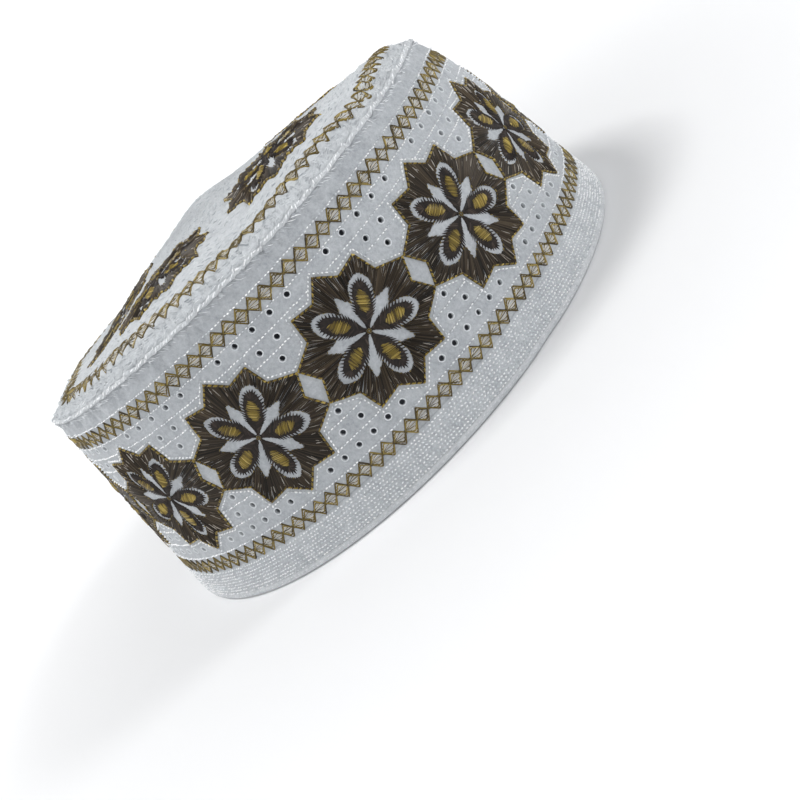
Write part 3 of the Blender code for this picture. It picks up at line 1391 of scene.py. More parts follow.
@dataclass(frozen=True)
class StarFlower:
    """One embroidered star: satin fill round a white flower, five petals and a cord edge."""

    shape: StarShape
    fill_threads: int = 416
    # How many pale slivers of painted sheen lie on the satin, and how light they start.
    painted_sheen_streaks: int = 60
    painted_sheen_tone: float = 0.25
    petal_count: int = 5
    first_petal: float = 54.0
    petal_pitch: float = 0.00092
    petal_core: float = 0.560
    petal_outline: tuple[tuple[float, float], ...] = (
        (0.040, 0.010),
        (0.100, 0.042),
        (0.160, 0.080),
        (0.220, 0.118),
        (0.290, 0.155),
        (0.360, 0.180),
        (0.430, 0.190),
        (0.500, 0.182),
        (0.560, 0.156),
        (0.615, 0.116),
        (0.665, 0.062),
        (0.695, 0.014),
    )
    heart_start: float = 0.250
    heart_end: float = 0.530
    heart_half: float = 0.082
    heart_pitch: float = 0.00023
    heart_slant: float = 0.00034
    broken_pitch: float = 0.00125
    broken_share: float = 0.74
    eye_stitches: int = 7
    eye_radius: float = 0.00040
    fill_rise: float = 0.00042
    petal_rise: float = 0.00045
    cord_half: float = 0.00036
    cord_pitch: float = 0.00052
    cord_length: float = 0.00100
    cord_slant: float = 0.60
    cord_rise: float = 0.00052

    def fill(self, needle: Needle, rng: np.random.Generator, turned: float) -> None:
        """Lays the brown satin from the flower's edge out to the cord.

        Args:
            needle: What lays the threads.
            rng: The star's own random numbers.
            turned: The flower's turn in degrees.
        """
        count = self.fill_threads
        angle = (np.arange(count) + rng.uniform(-0.2, 0.2, count)) * 2 * math.pi / count
        inner = self.shape.inner_edge(angle, turned) + rng.uniform(-0.00022, 0.00018, count)
        outer = self.shape.edge(angle) - rng.uniform(0.0, 0.00025, count)
        share = np.array([0.0, 0.06, 0.35, 0.7, 0.95, 1.0])
        reach = inner[:, None] + (outer - inner)[:, None] * share
        drift = rng.normal(0.0, 0.006, count)
        turns = angle[:, None] + drift[:, None] * (share - 0.4)
        spine = np.stack([reach * np.cos(turns), reach * np.sin(turns)], axis=-1)
        half = reach * math.pi / count * 1.35 * np.array([0.35, 1.0, 1.0, 1.0, 1.0, 0.7])
        lift = self.fill_rise + rng.uniform(-0.00008, 0.00012, count)[:, None]
        crest = lift * np.array([0.15, 0.8, 1.0, 1.0, 0.85, 0.5])
        patch = 0.10 * np.sin(angle * 5 + rng.uniform(0, 6)) + 0.08 * np.sin(angle * 13 + 1.0)
        tone = np.clip(0.38 + patch + rng.normal(0.0, 0.28, count), 0.0, 1.0)
        needle.lay(spine, half, crest, tone, 0, base=-0.00004)

    def painted_sheen_slivers(self, needle: Needle, rng: np.random.Generator, turned: float) -> None:
        """Lays the few pale threads on the brown satin: painted sheen, streaks of light drawn as
        pale silk.
        """
        count = self.painted_sheen_streaks
        angle = (np.arange(count) + rng.uniform(-0.45, 0.45, count)) * 2 * math.pi / count
        inner = self.shape.inner_edge(angle, turned)
        outer = self.shape.edge(angle)
        room = outer - inner
        length = np.minimum(rng.uniform(0.0010, 0.0034, count), room * 0.75)
        end = inner + room * rng.uniform(0.72, 0.97, count)
        begin = np.maximum(end - length, inner + 0.0002)
        share = np.linspace(0.0, 1.0, 4)
        reach = begin[:, None] + (end - begin)[:, None] * share
        turns = angle[:, None] + rng.normal(0.0, 0.02, count)[:, None] * (share - 0.5)
        spine = np.stack([reach * np.cos(turns), reach * np.sin(turns)], axis=-1)
        half = rng.uniform(0.00006, 0.00012, count)[:, None] * np.array([0.3, 1.0, 1.0, 0.3])
        crest = 0.00014 * np.array([0.5, 1.0, 1.0, 0.5])
        tone = rng.uniform(self.painted_sheen_tone, self.painted_sheen_tone + 0.70, count)
        needle.lay(spine, half, crest, tone, 1, base=self.fill_rise - 0.00006)

    def petals(self, needle: Needle, rng: np.random.Generator, turned: float) -> None:
        """Lays the five dark petals with their sawtooth edges, and their gold hearts.

        Args:
            needle: What lays the threads.
            rng: The star's own random numbers.
            turned: The flower's turn in degrees.
        """
        reach = self.shape.reach
        table = np.array(self.petal_outline) * reach
        line = np.concatenate([table * [1.0, -1.0], table[::-1]])
        for number in range(self.petal_count):
            turn = self.first_petal + 360.0 / self.petal_count * number
            axis = math.radians(turn + turned)
            aim = np.array([math.cos(axis), math.sin(axis)])
            side = np.array([-aim[1], aim[0]])
            self.petal_bed(needle, rng, aim, side)
            tips, ways = walk(line, self.petal_pitch, closed=False)
            count = len(tips)
            out = np.stack([np.sin(ways), -np.cos(ways)], axis=-1)
            spike = rng.uniform(-0.00024, 0.00020, count)[:, None]
            tip = tips + (out * 0.8 + np.array([0.5, 0.0])) * spike
            root = tips[:, 0] - 0.55 * np.abs(tips[:, 1]) - 0.0002
            root = np.clip(root, 0.03 * reach, self.petal_core * reach)
            begin = np.stack([root, 0.02 * tips[:, 1]], axis=-1)
            steps = np.array([0.0, 0.30, 0.55, 0.78, 1.0])
            local = begin[:, None] + (tip - begin)[:, None] * steps[None, :, None]
            spine = local[..., :1] * aim + local[..., 1:] * side
            thick = self.petal_pitch * rng.uniform(0.48, 0.58, count)
            widths = thick[:, None] * np.array([0.8, 1.0, 0.80, 0.46, 0.10])
            crest = (self.petal_rise + rng.uniform(-0.00007, 0.00012, count))[:, None]
            crest = crest * np.array([0.9, 1.0, 0.90, 0.60, 0.15])
            tone = np.clip(0.38 + rng.normal(0.0, 0.24, count), 0.0, 1.0)
            needle.lay(spine, widths, crest, tone, 2, base=-0.00002)
            self.heart(needle, rng, aim, side)

    def petal_bed(
        self, needle: Needle, rng: np.random.Generator, aim: np.ndarray, side: np.ndarray
    ) -> None:
        """Lays the long threads under one petal, which close its middle."""
        table = np.array(self.petal_outline) * self.shape.reach
        places = np.linspace(-0.60, 0.60, 15)
        along = np.linspace(0.08, 0.88, 5) * table[-1, 0]
        half = np.interp(along, table[:, 0], table[:, 1])
        across = places[:, None] * half[None, :]
        spine = aim * np.broadcast_to(along, across.shape)[..., None] + side * across[..., None]
        widths = np.broadcast_to(half * 0.075 + 0.00008, across.shape)
        crest = self.petal_rise * 0.80
        tone = np.clip(0.20 + rng.normal(0.0, 0.12, len(places)), 0.0, 1.0)
        needle.lay(spine, widths, np.array(crest), tone, 2, base=-0.00006)

    def heart(
        self, needle: Needle, rng: np.random.Generator, aim: np.ndarray, side: np.ndarray
    ) -> None:
        """Lays one petal's gold heart in slanted cross threads.

        Args:
            needle: What lays the threads.
            rng: The star's own random numbers.
            aim: The petal's direction.
            side: The direction across it.
        """
        reach = self.shape.reach
        start, end = self.heart_start * reach, self.heart_end * reach
        count = round((end - start) / self.heart_pitch)
        share = (np.arange(count) + 0.5) / count
        middle = start + (end - start) * share
        half = self.heart_half * reach * (1.0 - (2.0 * share - 1.0) ** 2) ** 0.42
        left = half + rng.uniform(-0.00030, 0.00026, count)
        right = half + rng.uniform(-0.00030, 0.00026, count)
        steps = np.linspace(-1.0, 1.0, 4)
        place = np.where(steps[None] < 0, left[:, None] * steps, right[:, None] * steps)
        slant = (self.heart_slant + rng.normal(0.0, 0.00008, count))[:, None] * steps[None, :]
        spine = aim * (middle[:, None] + slant)[..., None] + side * place[..., None]
        widths = 0.00016 * np.array([0.40, 1.0, 1.0, 0.40])
        crest = (0.00030 + rng.uniform(-0.00008, 0.00010, count))[:, None]
        crest = crest * np.array([0.2, 1.0, 1.0, 0.2])
        tone = np.clip(0.42 + rng.normal(0.0, 0.24, count), 0.0, 1.0)
        needle.lay(spine, widths, crest, tone, 3, base=self.petal_rise - 0.00006)

    def inner_line(self, needle: Needle, rng: np.random.Generator, turned: float) -> None:
        """Lays the broken olive stitches along the white flower's edge, and its eye."""
        angle = np.radians(np.arange(0.0, 360.0, 1.5))
        reach = self.shape.inner_edge(angle, turned) + 0.00010
        corners = np.stack([reach * np.cos(angle), reach * np.sin(angle)], axis=-1)
        places, ways = walk(corners, self.broken_pitch)
        keep = rng.uniform(0.0, 1.0, len(places)) < self.broken_share
        places, ways = places[keep], ways[keep]
        length = rng.uniform(0.0005, 0.0010, len(places))
        spine, swell = dashes(places, ways + rng.normal(0.25, 0.15, len(places)), length)
        tone = np.clip(rng.normal(0.40, 0.22, len(places)), 0.0, 1.0)
        needle.lay(spine, 0.00013 * swell, 0.00022 * swell, tone, 4, base=0.00026)
        turns = np.arange(self.eye_stitches) * 2 * math.pi / self.eye_stitches
        eye = np.stack([np.cos(turns), np.sin(turns)], axis=-1) * self.eye_radius
        spine, swell = dashes(eye, turns + math.pi / 2 + 0.5, 0.0010)
        tone = np.full(self.eye_stitches, 0.35)
        needle.lay(spine, 0.00020 * swell, 0.00030 * swell, tone, 4, base=0.00038)

    def cord(self, needle: Needle, rng: np.random.Generator) -> None:
        """Lays the corded outline in slanted stitches, gold and dark by turns."""
        corners = self.shape.points() * (1.0 - 0.00015 / self.shape.reach)
        places, ways = walk(corners, self.cord_pitch)
        count = len(places)
        slanted = ways + self.cord_slant + rng.normal(0.0, 0.12, count)
        spine, swell = dashes(places, slanted, self.cord_length)
        half = self.cord_half * (0.72 + rng.uniform(-0.06, 0.06, count))[:, None] * swell
        crest = (self.cord_rise + rng.uniform(-0.00004, 0.00006, count))[:, None] * swell
        gold = (np.arange(count) % 3) != 2
        bright = np.clip(rng.normal(0.36, 0.20, count), 0.0, 1.0)
        dull = np.clip(rng.normal(0.40, 0.15, count), 0.0, 1.0)
        for pick, tone, slot in ((gold, bright, 3), (~gold, dull, 0)):
            needle.lay(spine[pick], half[pick], crest[pick], tone[pick], slot, Section.ROUND)

    def build(
        self, name: str, chart: Chart, turned: float, seed: int, wardrobe: Wardrobe
    ) -> bpy.types.Object:
        """Makes one star.

        Args:
            name: The piece's name.
            chart: Where it lies.
            turned: The flower's turn in degrees.
            seed: The seed of its own irregularities.
            wardrobe: The finishes.

        Returns:
            The piece.
        """
        rng = np.random.default_rng(seed)
        parts = MeshParts()
        needle = Needle(parts, chart)
        self.fill(needle, rng, turned)
        self.painted_sheen_slivers(needle, rng, turned)
        self.petals(needle, rng, turned)
        self.inner_line(needle, rng, turned)
        self.cord(needle, rng)
        finishes = [wardrobe.brown, wardrobe.pale, wardrobe.petal, wardrobe.gold, wardrobe.olive]
        piece = parts.build(name, finishes)
        declare(piece, None)
        return piece


@dataclass(frozen=True)
class ChainLine:
    """A gold chain of rhombs that runs once round the cap."""

    surface: CapSurface
    name: str
    run: float
    links: int
    height: float = 0.0049
    side_half: float = 0.00025
    fan_half: float = 0.00014
    fill_lines: int = 7
    strand_gap: float = 0.00046
    sway: tuple[float, float, float] = (0.0, 37.0, 8.0)

    def wander(self, across: np.ndarray) -> np.ndarray:
        """How far the chain runs off its line, at places along it."""
        size, middle, reach = self.sway
        turn = np.degrees(across / self.surface.radius_at(self.run)) - middle
        turn = (turn + 180.0) % 360.0 - 180.0
        return size * np.exp(-((turn / reach) ** 2))

    def build(self, seed: int, wardrobe: Wardrobe) -> bpy.types.Object:
        """Makes the chain.

        Args:
            seed: The seed of its own irregularities.
            wardrobe: The finishes.

        Returns:
            The piece.
        """
        rng = np.random.default_rng(seed)
        chart = SideChart(self.surface, 0.0, self.run)
        pitch = 2 * math.pi * self.surface.radius_at(self.run) / self.links
        parts = MeshParts()
        needle = Needle(parts, chart)
        start = np.arange(self.links) * pitch
        self.filling(needle, rng, start, pitch)
        self.sides(needle, rng, start, pitch)
        self.inner_strands(needle, rng, start, pitch)
        self.knots(needle, rng, start)
        piece = parts.build(self.name, [wardrobe.olive, wardrobe.straw])
        declare(piece, None)
        return piece

    def filling(
        self, needle: Needle, rng: np.random.Generator, start: np.ndarray, pitch: float
    ) -> None:
        """Lays the flat pale threads that fill each link.

        Args:
            needle: What lays the threads.
            rng: The chain's random numbers.
            start: Where each link starts along the chain.
            pitch: The length of a link.
        """
        half = self.height / 2
        share = np.linspace(-1.0, 1.0, 4)
        for level in np.linspace(-0.78, 0.78, self.fill_lines):
            room = 0.5 * pitch * (1.0 - abs(level))
            x = start[:, None] + 0.5 * pitch + room * share
            y = half * level + rng.normal(0.0, 0.00006, (len(start), 1)) + self.wander(x)
            spine = np.stack(np.broadcast_arrays(x, y), axis=-1)
            tone = np.clip(rng.normal(0.50, 0.22, len(start)), 0.0, 1.0)
            needle.lay(spine, np.array(half * 0.10), np.array(0.00012), tone, 1)

    def sides(
        self, needle: Needle, rng: np.random.Generator, start: np.ndarray, pitch: float
    ) -> None:
        """Lays the doubled strands of each link's four sides.

        Args:
            needle: What lays the threads.
            rng: The chain's random numbers.
            start: Where each link starts along the chain.
            pitch: The length of a link.
        """
        half = self.height / 2
        share = np.linspace(0.0, 1.0, 4)
        count = len(start)
        for hand in (1.0, -1.0):
            for near, far in (((0.0, 0.0), (0.5, 1.0)), ((0.5, 1.0), (1.0, 0.0))):
                for inset in (0.0, self.strand_gap):
                    across = near[0] + (far[0] - near[0]) * share
                    up = near[1] + (far[1] - near[1]) * share
                    x = start[:, None] + pitch * across + rng.normal(0.0, 0.00009, (count, 1))
                    over = 1.06 if inset == 0.0 else 1.0
                    y = hand * (half * up * over - inset * (0.3 + up))
                    y = y + rng.normal(0.0, 0.00009, (count, 1)) + self.wander(x)
                    spine = np.stack(np.broadcast_arrays(x, y), axis=-1)
                    tone = np.clip(rng.normal(0.34 + inset * 500, 0.24, count), 0.0, 1.0)
                    width = self.side_half * np.array([0.9, 1.0, 1.0, 0.8])
                    needle.lay(spine, width, 0.00034 * np.array([1.0, 1.0, 1.0, 0.7]), tone)

    def inner_strands(
        self, needle: Needle, rng: np.random.Generator, start: np.ndarray, pitch: float
    ) -> None:
        """Lays the dark strands that spread like a fan across each link.

        Args:
            needle: What lays the threads.
            rng: The chain's random numbers.
            start: Where each link starts along the chain.
            pitch: The length of a link.
        """
        share = np.linspace(0.0, 1.0, 5)
        count = len(start)
        half = self.height / 2
        fan = ((0.60, 0.70), (0.76, 0.36), (0.93, 0.0))
        for far, up in fan + tuple((far, -up) for far, up in fan[:2]):
            x = start[:, None] + pitch * (0.08 + (far - 0.08) * share)
            y = half * up * np.sin(0.5 * math.pi * share) + rng.normal(0.0, 0.00009, (count, 1))
            y = y + self.wander(x)
            spine = np.stack(np.broadcast_arrays(x, y), axis=-1)
            tone = np.clip(rng.normal(0.24, 0.22, count), 0.0, 1.0)
            width = self.fan_half * np.array([0.5, 0.9, 1.0, 1.0, 0.8])
            needle.lay(spine, width, 0.00020 * np.ones(5), tone)

    def knots(self, needle: Needle, rng: np.random.Generator, start: np.ndarray) -> None:
        """Lays the dark crossed stitches where two links meet."""
        for way, length in ((0.85, 0.0017), (-0.85, 0.0017), (math.pi / 2, 0.0013)):
            middle = np.stack([start, self.wander(start)], axis=-1)
            middle = middle + rng.normal(0.0, 0.00006, middle.shape)
            spine, swell = dashes(middle, np.full(len(start), way), length)
            tone = np.clip(rng.normal(0.20, 0.10, len(start)), 0.0, 1.0)
            needle.lay(spine, 0.00023 * swell, 0.00046 * swell, tone, section=Section.ROUND)


@dataclass(frozen=True)
class Stitch:
    """A kind of running stitch: its spacing, length, half width, height and unsteadiness."""

    pitch: float
    length: float
    half: float
    crest: float
    wander: float = 0.12


PEARL_STITCH = Stitch(0.00118, 0.00094, 0.00022, 0.00044)
HEM_STITCH = Stitch(0.00116, 0.00094, 0.00026, 0.00058, 0.35)
FOLD_STITCH = Stitch(0.0016, 0.00135, 0.00012, 0.00042, 0.05)
CORD_STITCH = Stitch(0.0024, 0.0019, 0.00013, 0.00020, 0.03)


@dataclass(frozen=True)
class StitchRows:
    """White stitches on the cloth: hem, wall, star edges, seam and top."""

    surface: CapSurface
    plan: CapPlan
    shape: StarShape
    top_shape: StarShape
    wall_runs: tuple[float, ...] = (0.0706, 0.0644, 0.0597, 0.0545, 0.0288, 0.0233, 0.0174)
    hem_start: float = 0.00265
    hem_pitch: float = 0.00104
    hem_lines: int = 9
    fold_runs: tuple[float, ...] = (0.00105, 0.00165)
    star_margin: float = 0.0015
    outline_margin: float = 0.00135
    outline_gap: float = 0.0009
    meeting_across: float = 0.0160
    meeting_up: float = 0.0070
    seam_run: float = 0.0765
    seam_pitch: float = 0.00105
    seam_slant: float = 0.70
    flank_rows: tuple[tuple[float, float], ...] = ((-0.0016, -0.55), (0.0019, 0.55))
    cord_runs: tuple[float, ...] = (0.0786, 0.0794, 0.0802, 0.0810, 0.0818)
    top_start: float = 0.0040
    top_end: float = 0.0725
    top_pitch: float = 0.0022
    top_spacing: float = 0.0030
    top_length: float = 0.0017
    top_margin: float = 0.0011

    def outside_stars(self, bearing: np.ndarray, run: np.ndarray, margin: float) -> np.ndarray:
        """Tells which places of the wall lie clear of every star.

        Args:
            bearing: Bearings in degrees.
            run: Distances up the outline.
            margin: The room to keep round a star.

        Returns:
            True for each place that is clear.
        """
        step = self.plan.step
        away = (bearing - self.plan.first_bearing + step / 2) % step - step / 2
        across = np.radians(away) * self.surface.radius_at(self.plan.star_run)
        up = run - self.plan.star_run
        return np.hypot(across, up) > self.shape.edge(np.arctan2(up, across)) + margin

    def outside_top_stars(
        self, bearing: np.ndarray, reach: np.ndarray, margin: float
    ) -> np.ndarray:
        """Tells which places of the top lie clear of its stars.

        Args:
            bearing: Bearings in degrees.
            reach: Distances from the middle of the top.
            margin: The room to keep round a star.

        Returns:
            True for each place that is clear.
        """
        clear = np.ones(len(bearing), dtype=bool)
        for middle in self.plan.top_bearings:
            turn = np.radians(bearing - middle)
            up = reach * np.cos(turn) - self.plan.top_reach
            across = reach * np.sin(turn)
            edge = self.top_shape.edge(np.arctan2(up, across)) + margin
            clear &= np.hypot(across, up) > edge
        return clear

    def row(
        self,
        needle: Needle,
        rng: np.random.Generator,
        run: float,
        stitch: Stitch,
        margin: float | None = None,
        slot: int = 0,
    ) -> None:
        """Lays one ring of stitches round the cap: round ones with a margin, else flat ridges.

        Args:
            needle: What lays the threads, on a chart at this run.
            rng: Random numbers.
            run: The ring's run.
            stitch: The kind of stitch.
            margin: The room to keep round stars, or None where there are none.
            slot: The material slot.
        """
        radius = self.surface.radius_at(run)
        count = round(2 * math.pi * radius / stitch.pitch)
        across = (np.arange(count) + rng.uniform(0, 1) + rng.uniform(-0.10, 0.10, count)) * (
            2 * math.pi * radius / count
        )
        if margin is not None:
            runs = np.full(count, run)
            across = across[self.outside_stars(np.degrees(across / radius), runs, margin)]
        count = len(across)
        middle = np.stack([across, rng.normal(0.0, 0.00006, count)], axis=-1)
        sizes = stitch.length * rng.uniform(0.82, 1.12, count)
        spine, swell = dashes(middle, rng.normal(0.0, stitch.wander, count), sizes)
        # Each stitch's random tone: partly the thread's own uneven whiteness, partly painted
        # glints, bright on some stitches and dim on others.
        tone = np.clip(rng.normal(0.50, 0.40, count), 0.0, 1.0)
        high = (stitch.crest * rng.uniform(0.8, 1.15, count))[:, None] * swell
        section = Section.RIDGE if margin is None else Section.ROUND
        needle.lay(spine, stitch.half * swell, high, tone, slot, section)

    def wall_rows(self, wardrobe: Wardrobe) -> bpy.types.Object:
        """Makes the pearl rows of the wall and the lines that follow each star.

        Args:
            wardrobe: The finishes.

        Returns:
            The piece.
        """
        rng = np.random.default_rng(41)
        parts = MeshParts()
        for run in self.wall_runs:
            needle = Needle(parts, SideChart(self.surface, 0.0, run))
            self.row(needle, rng, run, PEARL_STITCH, self.star_margin)
        for number in range(self.plan.stars):
            bearing = self.plan.star_bearing(number)
            needle = Needle(parts, SideChart(self.surface, bearing, self.plan.star_run))
            self.outline(needle, rng)
        piece = parts.build("wall_pearl_stitches", [wardrobe.pearl])
        declare(piece, "white_thread")
        return piece

    def outline(self, needle: Needle, rng: np.random.Generator) -> None:
        """Lays the pearl stitches that follow one star of the wall.

        Args:
            needle: What lays the threads, on a chart with its middle at the star's.
            rng: Random numbers.
        """
        corners = self.shape.points()
        size = np.linalg.norm(corners, axis=1, keepdims=True)
        places, ways = walk(corners * (1.0 + self.outline_margin / size), PEARL_STITCH.pitch)
        radius = self.surface.radius_at(self.plan.star_run)
        keep = np.ones(len(places), dtype=bool)
        for neighbour in (-1, 1):
            shifted = places - np.array([neighbour * math.radians(self.plan.step) * radius, 0.0])
            far = np.hypot(*shifted.T)
            edge = self.shape.edge(np.arctan2(shifted[:, 1], shifted[:, 0]))
            keep &= far > edge + self.outline_gap
        beside = np.abs(places[:, 0]) > self.meeting_across
        keep &= ~(beside & (np.abs(places[:, 1]) < self.meeting_up))
        places, ways = places[keep], ways[keep]
        count = len(places)
        sizes = 0.00092 * rng.uniform(0.75, 1.15, count)
        spine, swell = dashes(places, ways + rng.normal(0.0, 0.12, count), sizes)
        # Each stitch's random tone: partly the thread's own uneven whiteness, partly painted
        # glints, bright on some stitches and dim on others.
        tone = np.clip(rng.normal(0.50, 0.40, count), 0.0, 1.0)
        needle.lay(spine, 0.00024 * swell, 0.00046 * swell, tone, 0, Section.ROUND)

    def hem_rows(self, wardrobe: Wardrobe) -> bpy.types.Object:
        """Makes the dense staggered stitches of the hem and the fold's two lines.

        Args:
            wardrobe: The finishes.

        Returns:
            The piece.
        """
        rng = np.random.default_rng(42)
        parts = MeshParts()
        for number in range(self.hem_lines):
            run = self.hem_start + self.hem_pitch * number
            needle = Needle(parts, SideChart(self.surface, 0.0, run))
            needle.sink = -0.00002
            self.row(needle, rng, run, HEM_STITCH)
        for run in self.fold_runs:
            needle = Needle(parts, SideChart(self.surface, 0.0, run))
            self.row(needle, rng, run, FOLD_STITCH)
        piece = parts.build("hem_stitches", [wardrobe.pearl])
        declare(piece, "white_thread")
        return piece

    def seam_rows(self, wardrobe: Wardrobe) -> bpy.types.Object:
        """Makes the overlocked stitches of the crown seam and the corded lines above it.

        Args:
            wardrobe: The finishes.

        Returns:
            The piece.
        """
        rng = np.random.default_rng(43)
        parts = MeshParts()
        radius = self.surface.radius_at(self.seam_run)
        needle = Needle(parts, SideChart(self.surface, 0.0, self.seam_run))
        count = round(2 * math.pi * radius / self.seam_pitch)
        across = np.arange(count) * 2 * math.pi * radius / count
        middle = np.stack([across, np.zeros(count)], axis=-1)
        middle = middle + rng.normal(0.0, 0.00018, middle.shape)
        sizes = rng.uniform(0.0009, 0.0016, count)
        slant = self.seam_slant + rng.normal(0.0, 0.18, count)
        spine, swell = dashes(middle, slant, sizes, 5)
        tone = np.clip(rng.normal(0.45, 0.2, count), 0.0, 1.0)
        needle.lay(spine, 0.00019 * swell, 0.00014 * swell, tone, 0, Section.ROUND, 0.00030)
        for level, slant in self.flank_rows:
            middle = np.stack([across, np.full(count, level)], axis=-1)
            middle = middle + rng.normal(0.0, 0.00022, middle.shape)
            sizes = rng.uniform(0.0013, 0.0028, count)
            spine, swell = dashes(middle, slant + rng.normal(0.0, 0.20, count), sizes)
            tone = np.clip(rng.normal(0.16, 0.2, count), 0.0, 1.0)
            needle.lay(spine, 0.00011 * swell, 0.00020 * swell, tone, 0)
        for run in self.cord_runs:
            needle = Needle(parts, SideChart(self.surface, 0.0, run))
            self.row(needle, rng, run, CORD_STITCH, slot=1)
        piece = parts.build("crown_seam_stitches", [wardrobe.pearl, wardrobe.rim])
        declare(piece, "white_thread")
        return piece

    def top_rows(self, wardrobe: Wardrobe) -> bpy.types.Object:
        """Makes the rings of short stitches on the top.

        Args:
            wardrobe: The finishes.

        Returns:
            The piece.
        """
        rng = np.random.default_rng(44)
        parts = MeshParts()
        needle = Needle(parts, TopChart(self.surface, 0.0, 0.0))
        middles, ways = [], []
        for reach in np.arange(self.top_start, self.top_end, self.top_pitch):
            count = max(6, round(2 * math.pi * reach / self.top_spacing))
            bearing = (np.arange(count) + rng.uniform(0, 1)) * 360.0 / count
            bearing = bearing + rng.uniform(-0.12, 0.12, count) * 360.0 / count
            reaches = np.full(len(bearing), reach)
            bearing = bearing[self.outside_top_stars(bearing, reaches, self.top_margin)]
            turn = np.radians(bearing)
            middles.append(np.stack([-reach * np.sin(turn), reach * np.cos(turn)], axis=-1))
            ways.append(turn)
        middle = np.concatenate(middles)
        way = np.concatenate(ways) + rng.normal(0.0, 0.10, len(middle))
        sizes = self.top_length * rng.uniform(0.8, 1.2, len(middle))
        spine, swell = dashes(middle, way, sizes)
        tone = np.clip(rng.normal(0.30, 0.25, len(middle)), 0.0, 1.0)
        needle.lay(spine, 0.00013 * swell, 0.00016 * swell, tone)
        piece = parts.build("top_stitches", [wardrobe.rim])
        declare(piece, "white_thread")
        return piece


@dataclass(frozen=True)
class EyeletRims:
    """The overcast thread rims of the eyelets."""

    surface: CapSurface
    plan: CapPlan
    steps: int = 18

    def build(self, wardrobe: Wardrobe) -> bpy.types.Object:
        """Makes every rim.

        Args:
            wardrobe: The finishes.

        Returns:
            The piece.
        """
        rng = np.random.default_rng(45)
        parts = MeshParts()
        turns = np.arange(self.steps) * 2 * math.pi / self.steps
        circle = np.stack([np.cos(turns), np.sin(turns)], axis=-1)
        radius = self.plan.eyelet_radius
        reach = np.array([1.50, 1.27, 1.03, 0.97]) * radius
        rise = np.array([-0.00012, 0.00015, 0.00006, -0.00075])
        tooth = 0.00004 * np.where(np.arange(self.steps) % 2 == 0, 1.0, -1.0)
        number = np.arange(self.steps * 4).reshape(self.steps, 4)
        ahead = np.roll(number, -1, axis=0)
        faces = np.stack([number[:, :-1], ahead[:, :-1], ahead[:, 1:], number[:, 1:]], axis=-1)
        for gap in range(self.plan.stars):
            bearing = self.plan.first_bearing - (gap + 0.5) * self.plan.step
            for hole in self.plan.gap_eyelets():
                chart = SideChart(self.surface, bearing, hole.run)
                flat = circle[:, None, :] * (reach * rng.uniform(0.97, 1.05))[None, :, None]
                flat = flat + np.array([hole.across, 0.0])
                lift = rise[None, :] + tooth[:, None] * np.array([0.0, 1.0, 0.6, 0.0])
                points = chart.lay(flat, lift).reshape(-1, 3)
                tone = np.full((len(points), 3), rng.uniform(0.45, 0.75))
                tone[:, 1] = 0.5
                # Painted shade: the third tone number sets how dark each ring of the rim is drawn,
                # lightest on the top ring and darkest on the ring that goes down into the hole.
                tone[:, 2] = np.tile([0.4, 1.0, 0.6, 0.2], self.steps)
                parts.add(points, faces.reshape(-1, 4), 0, tone)
        piece = parts.build("eyelet_rims", [wardrobe.rim])
        declare(piece, "white_thread")
        return piece


# The studio


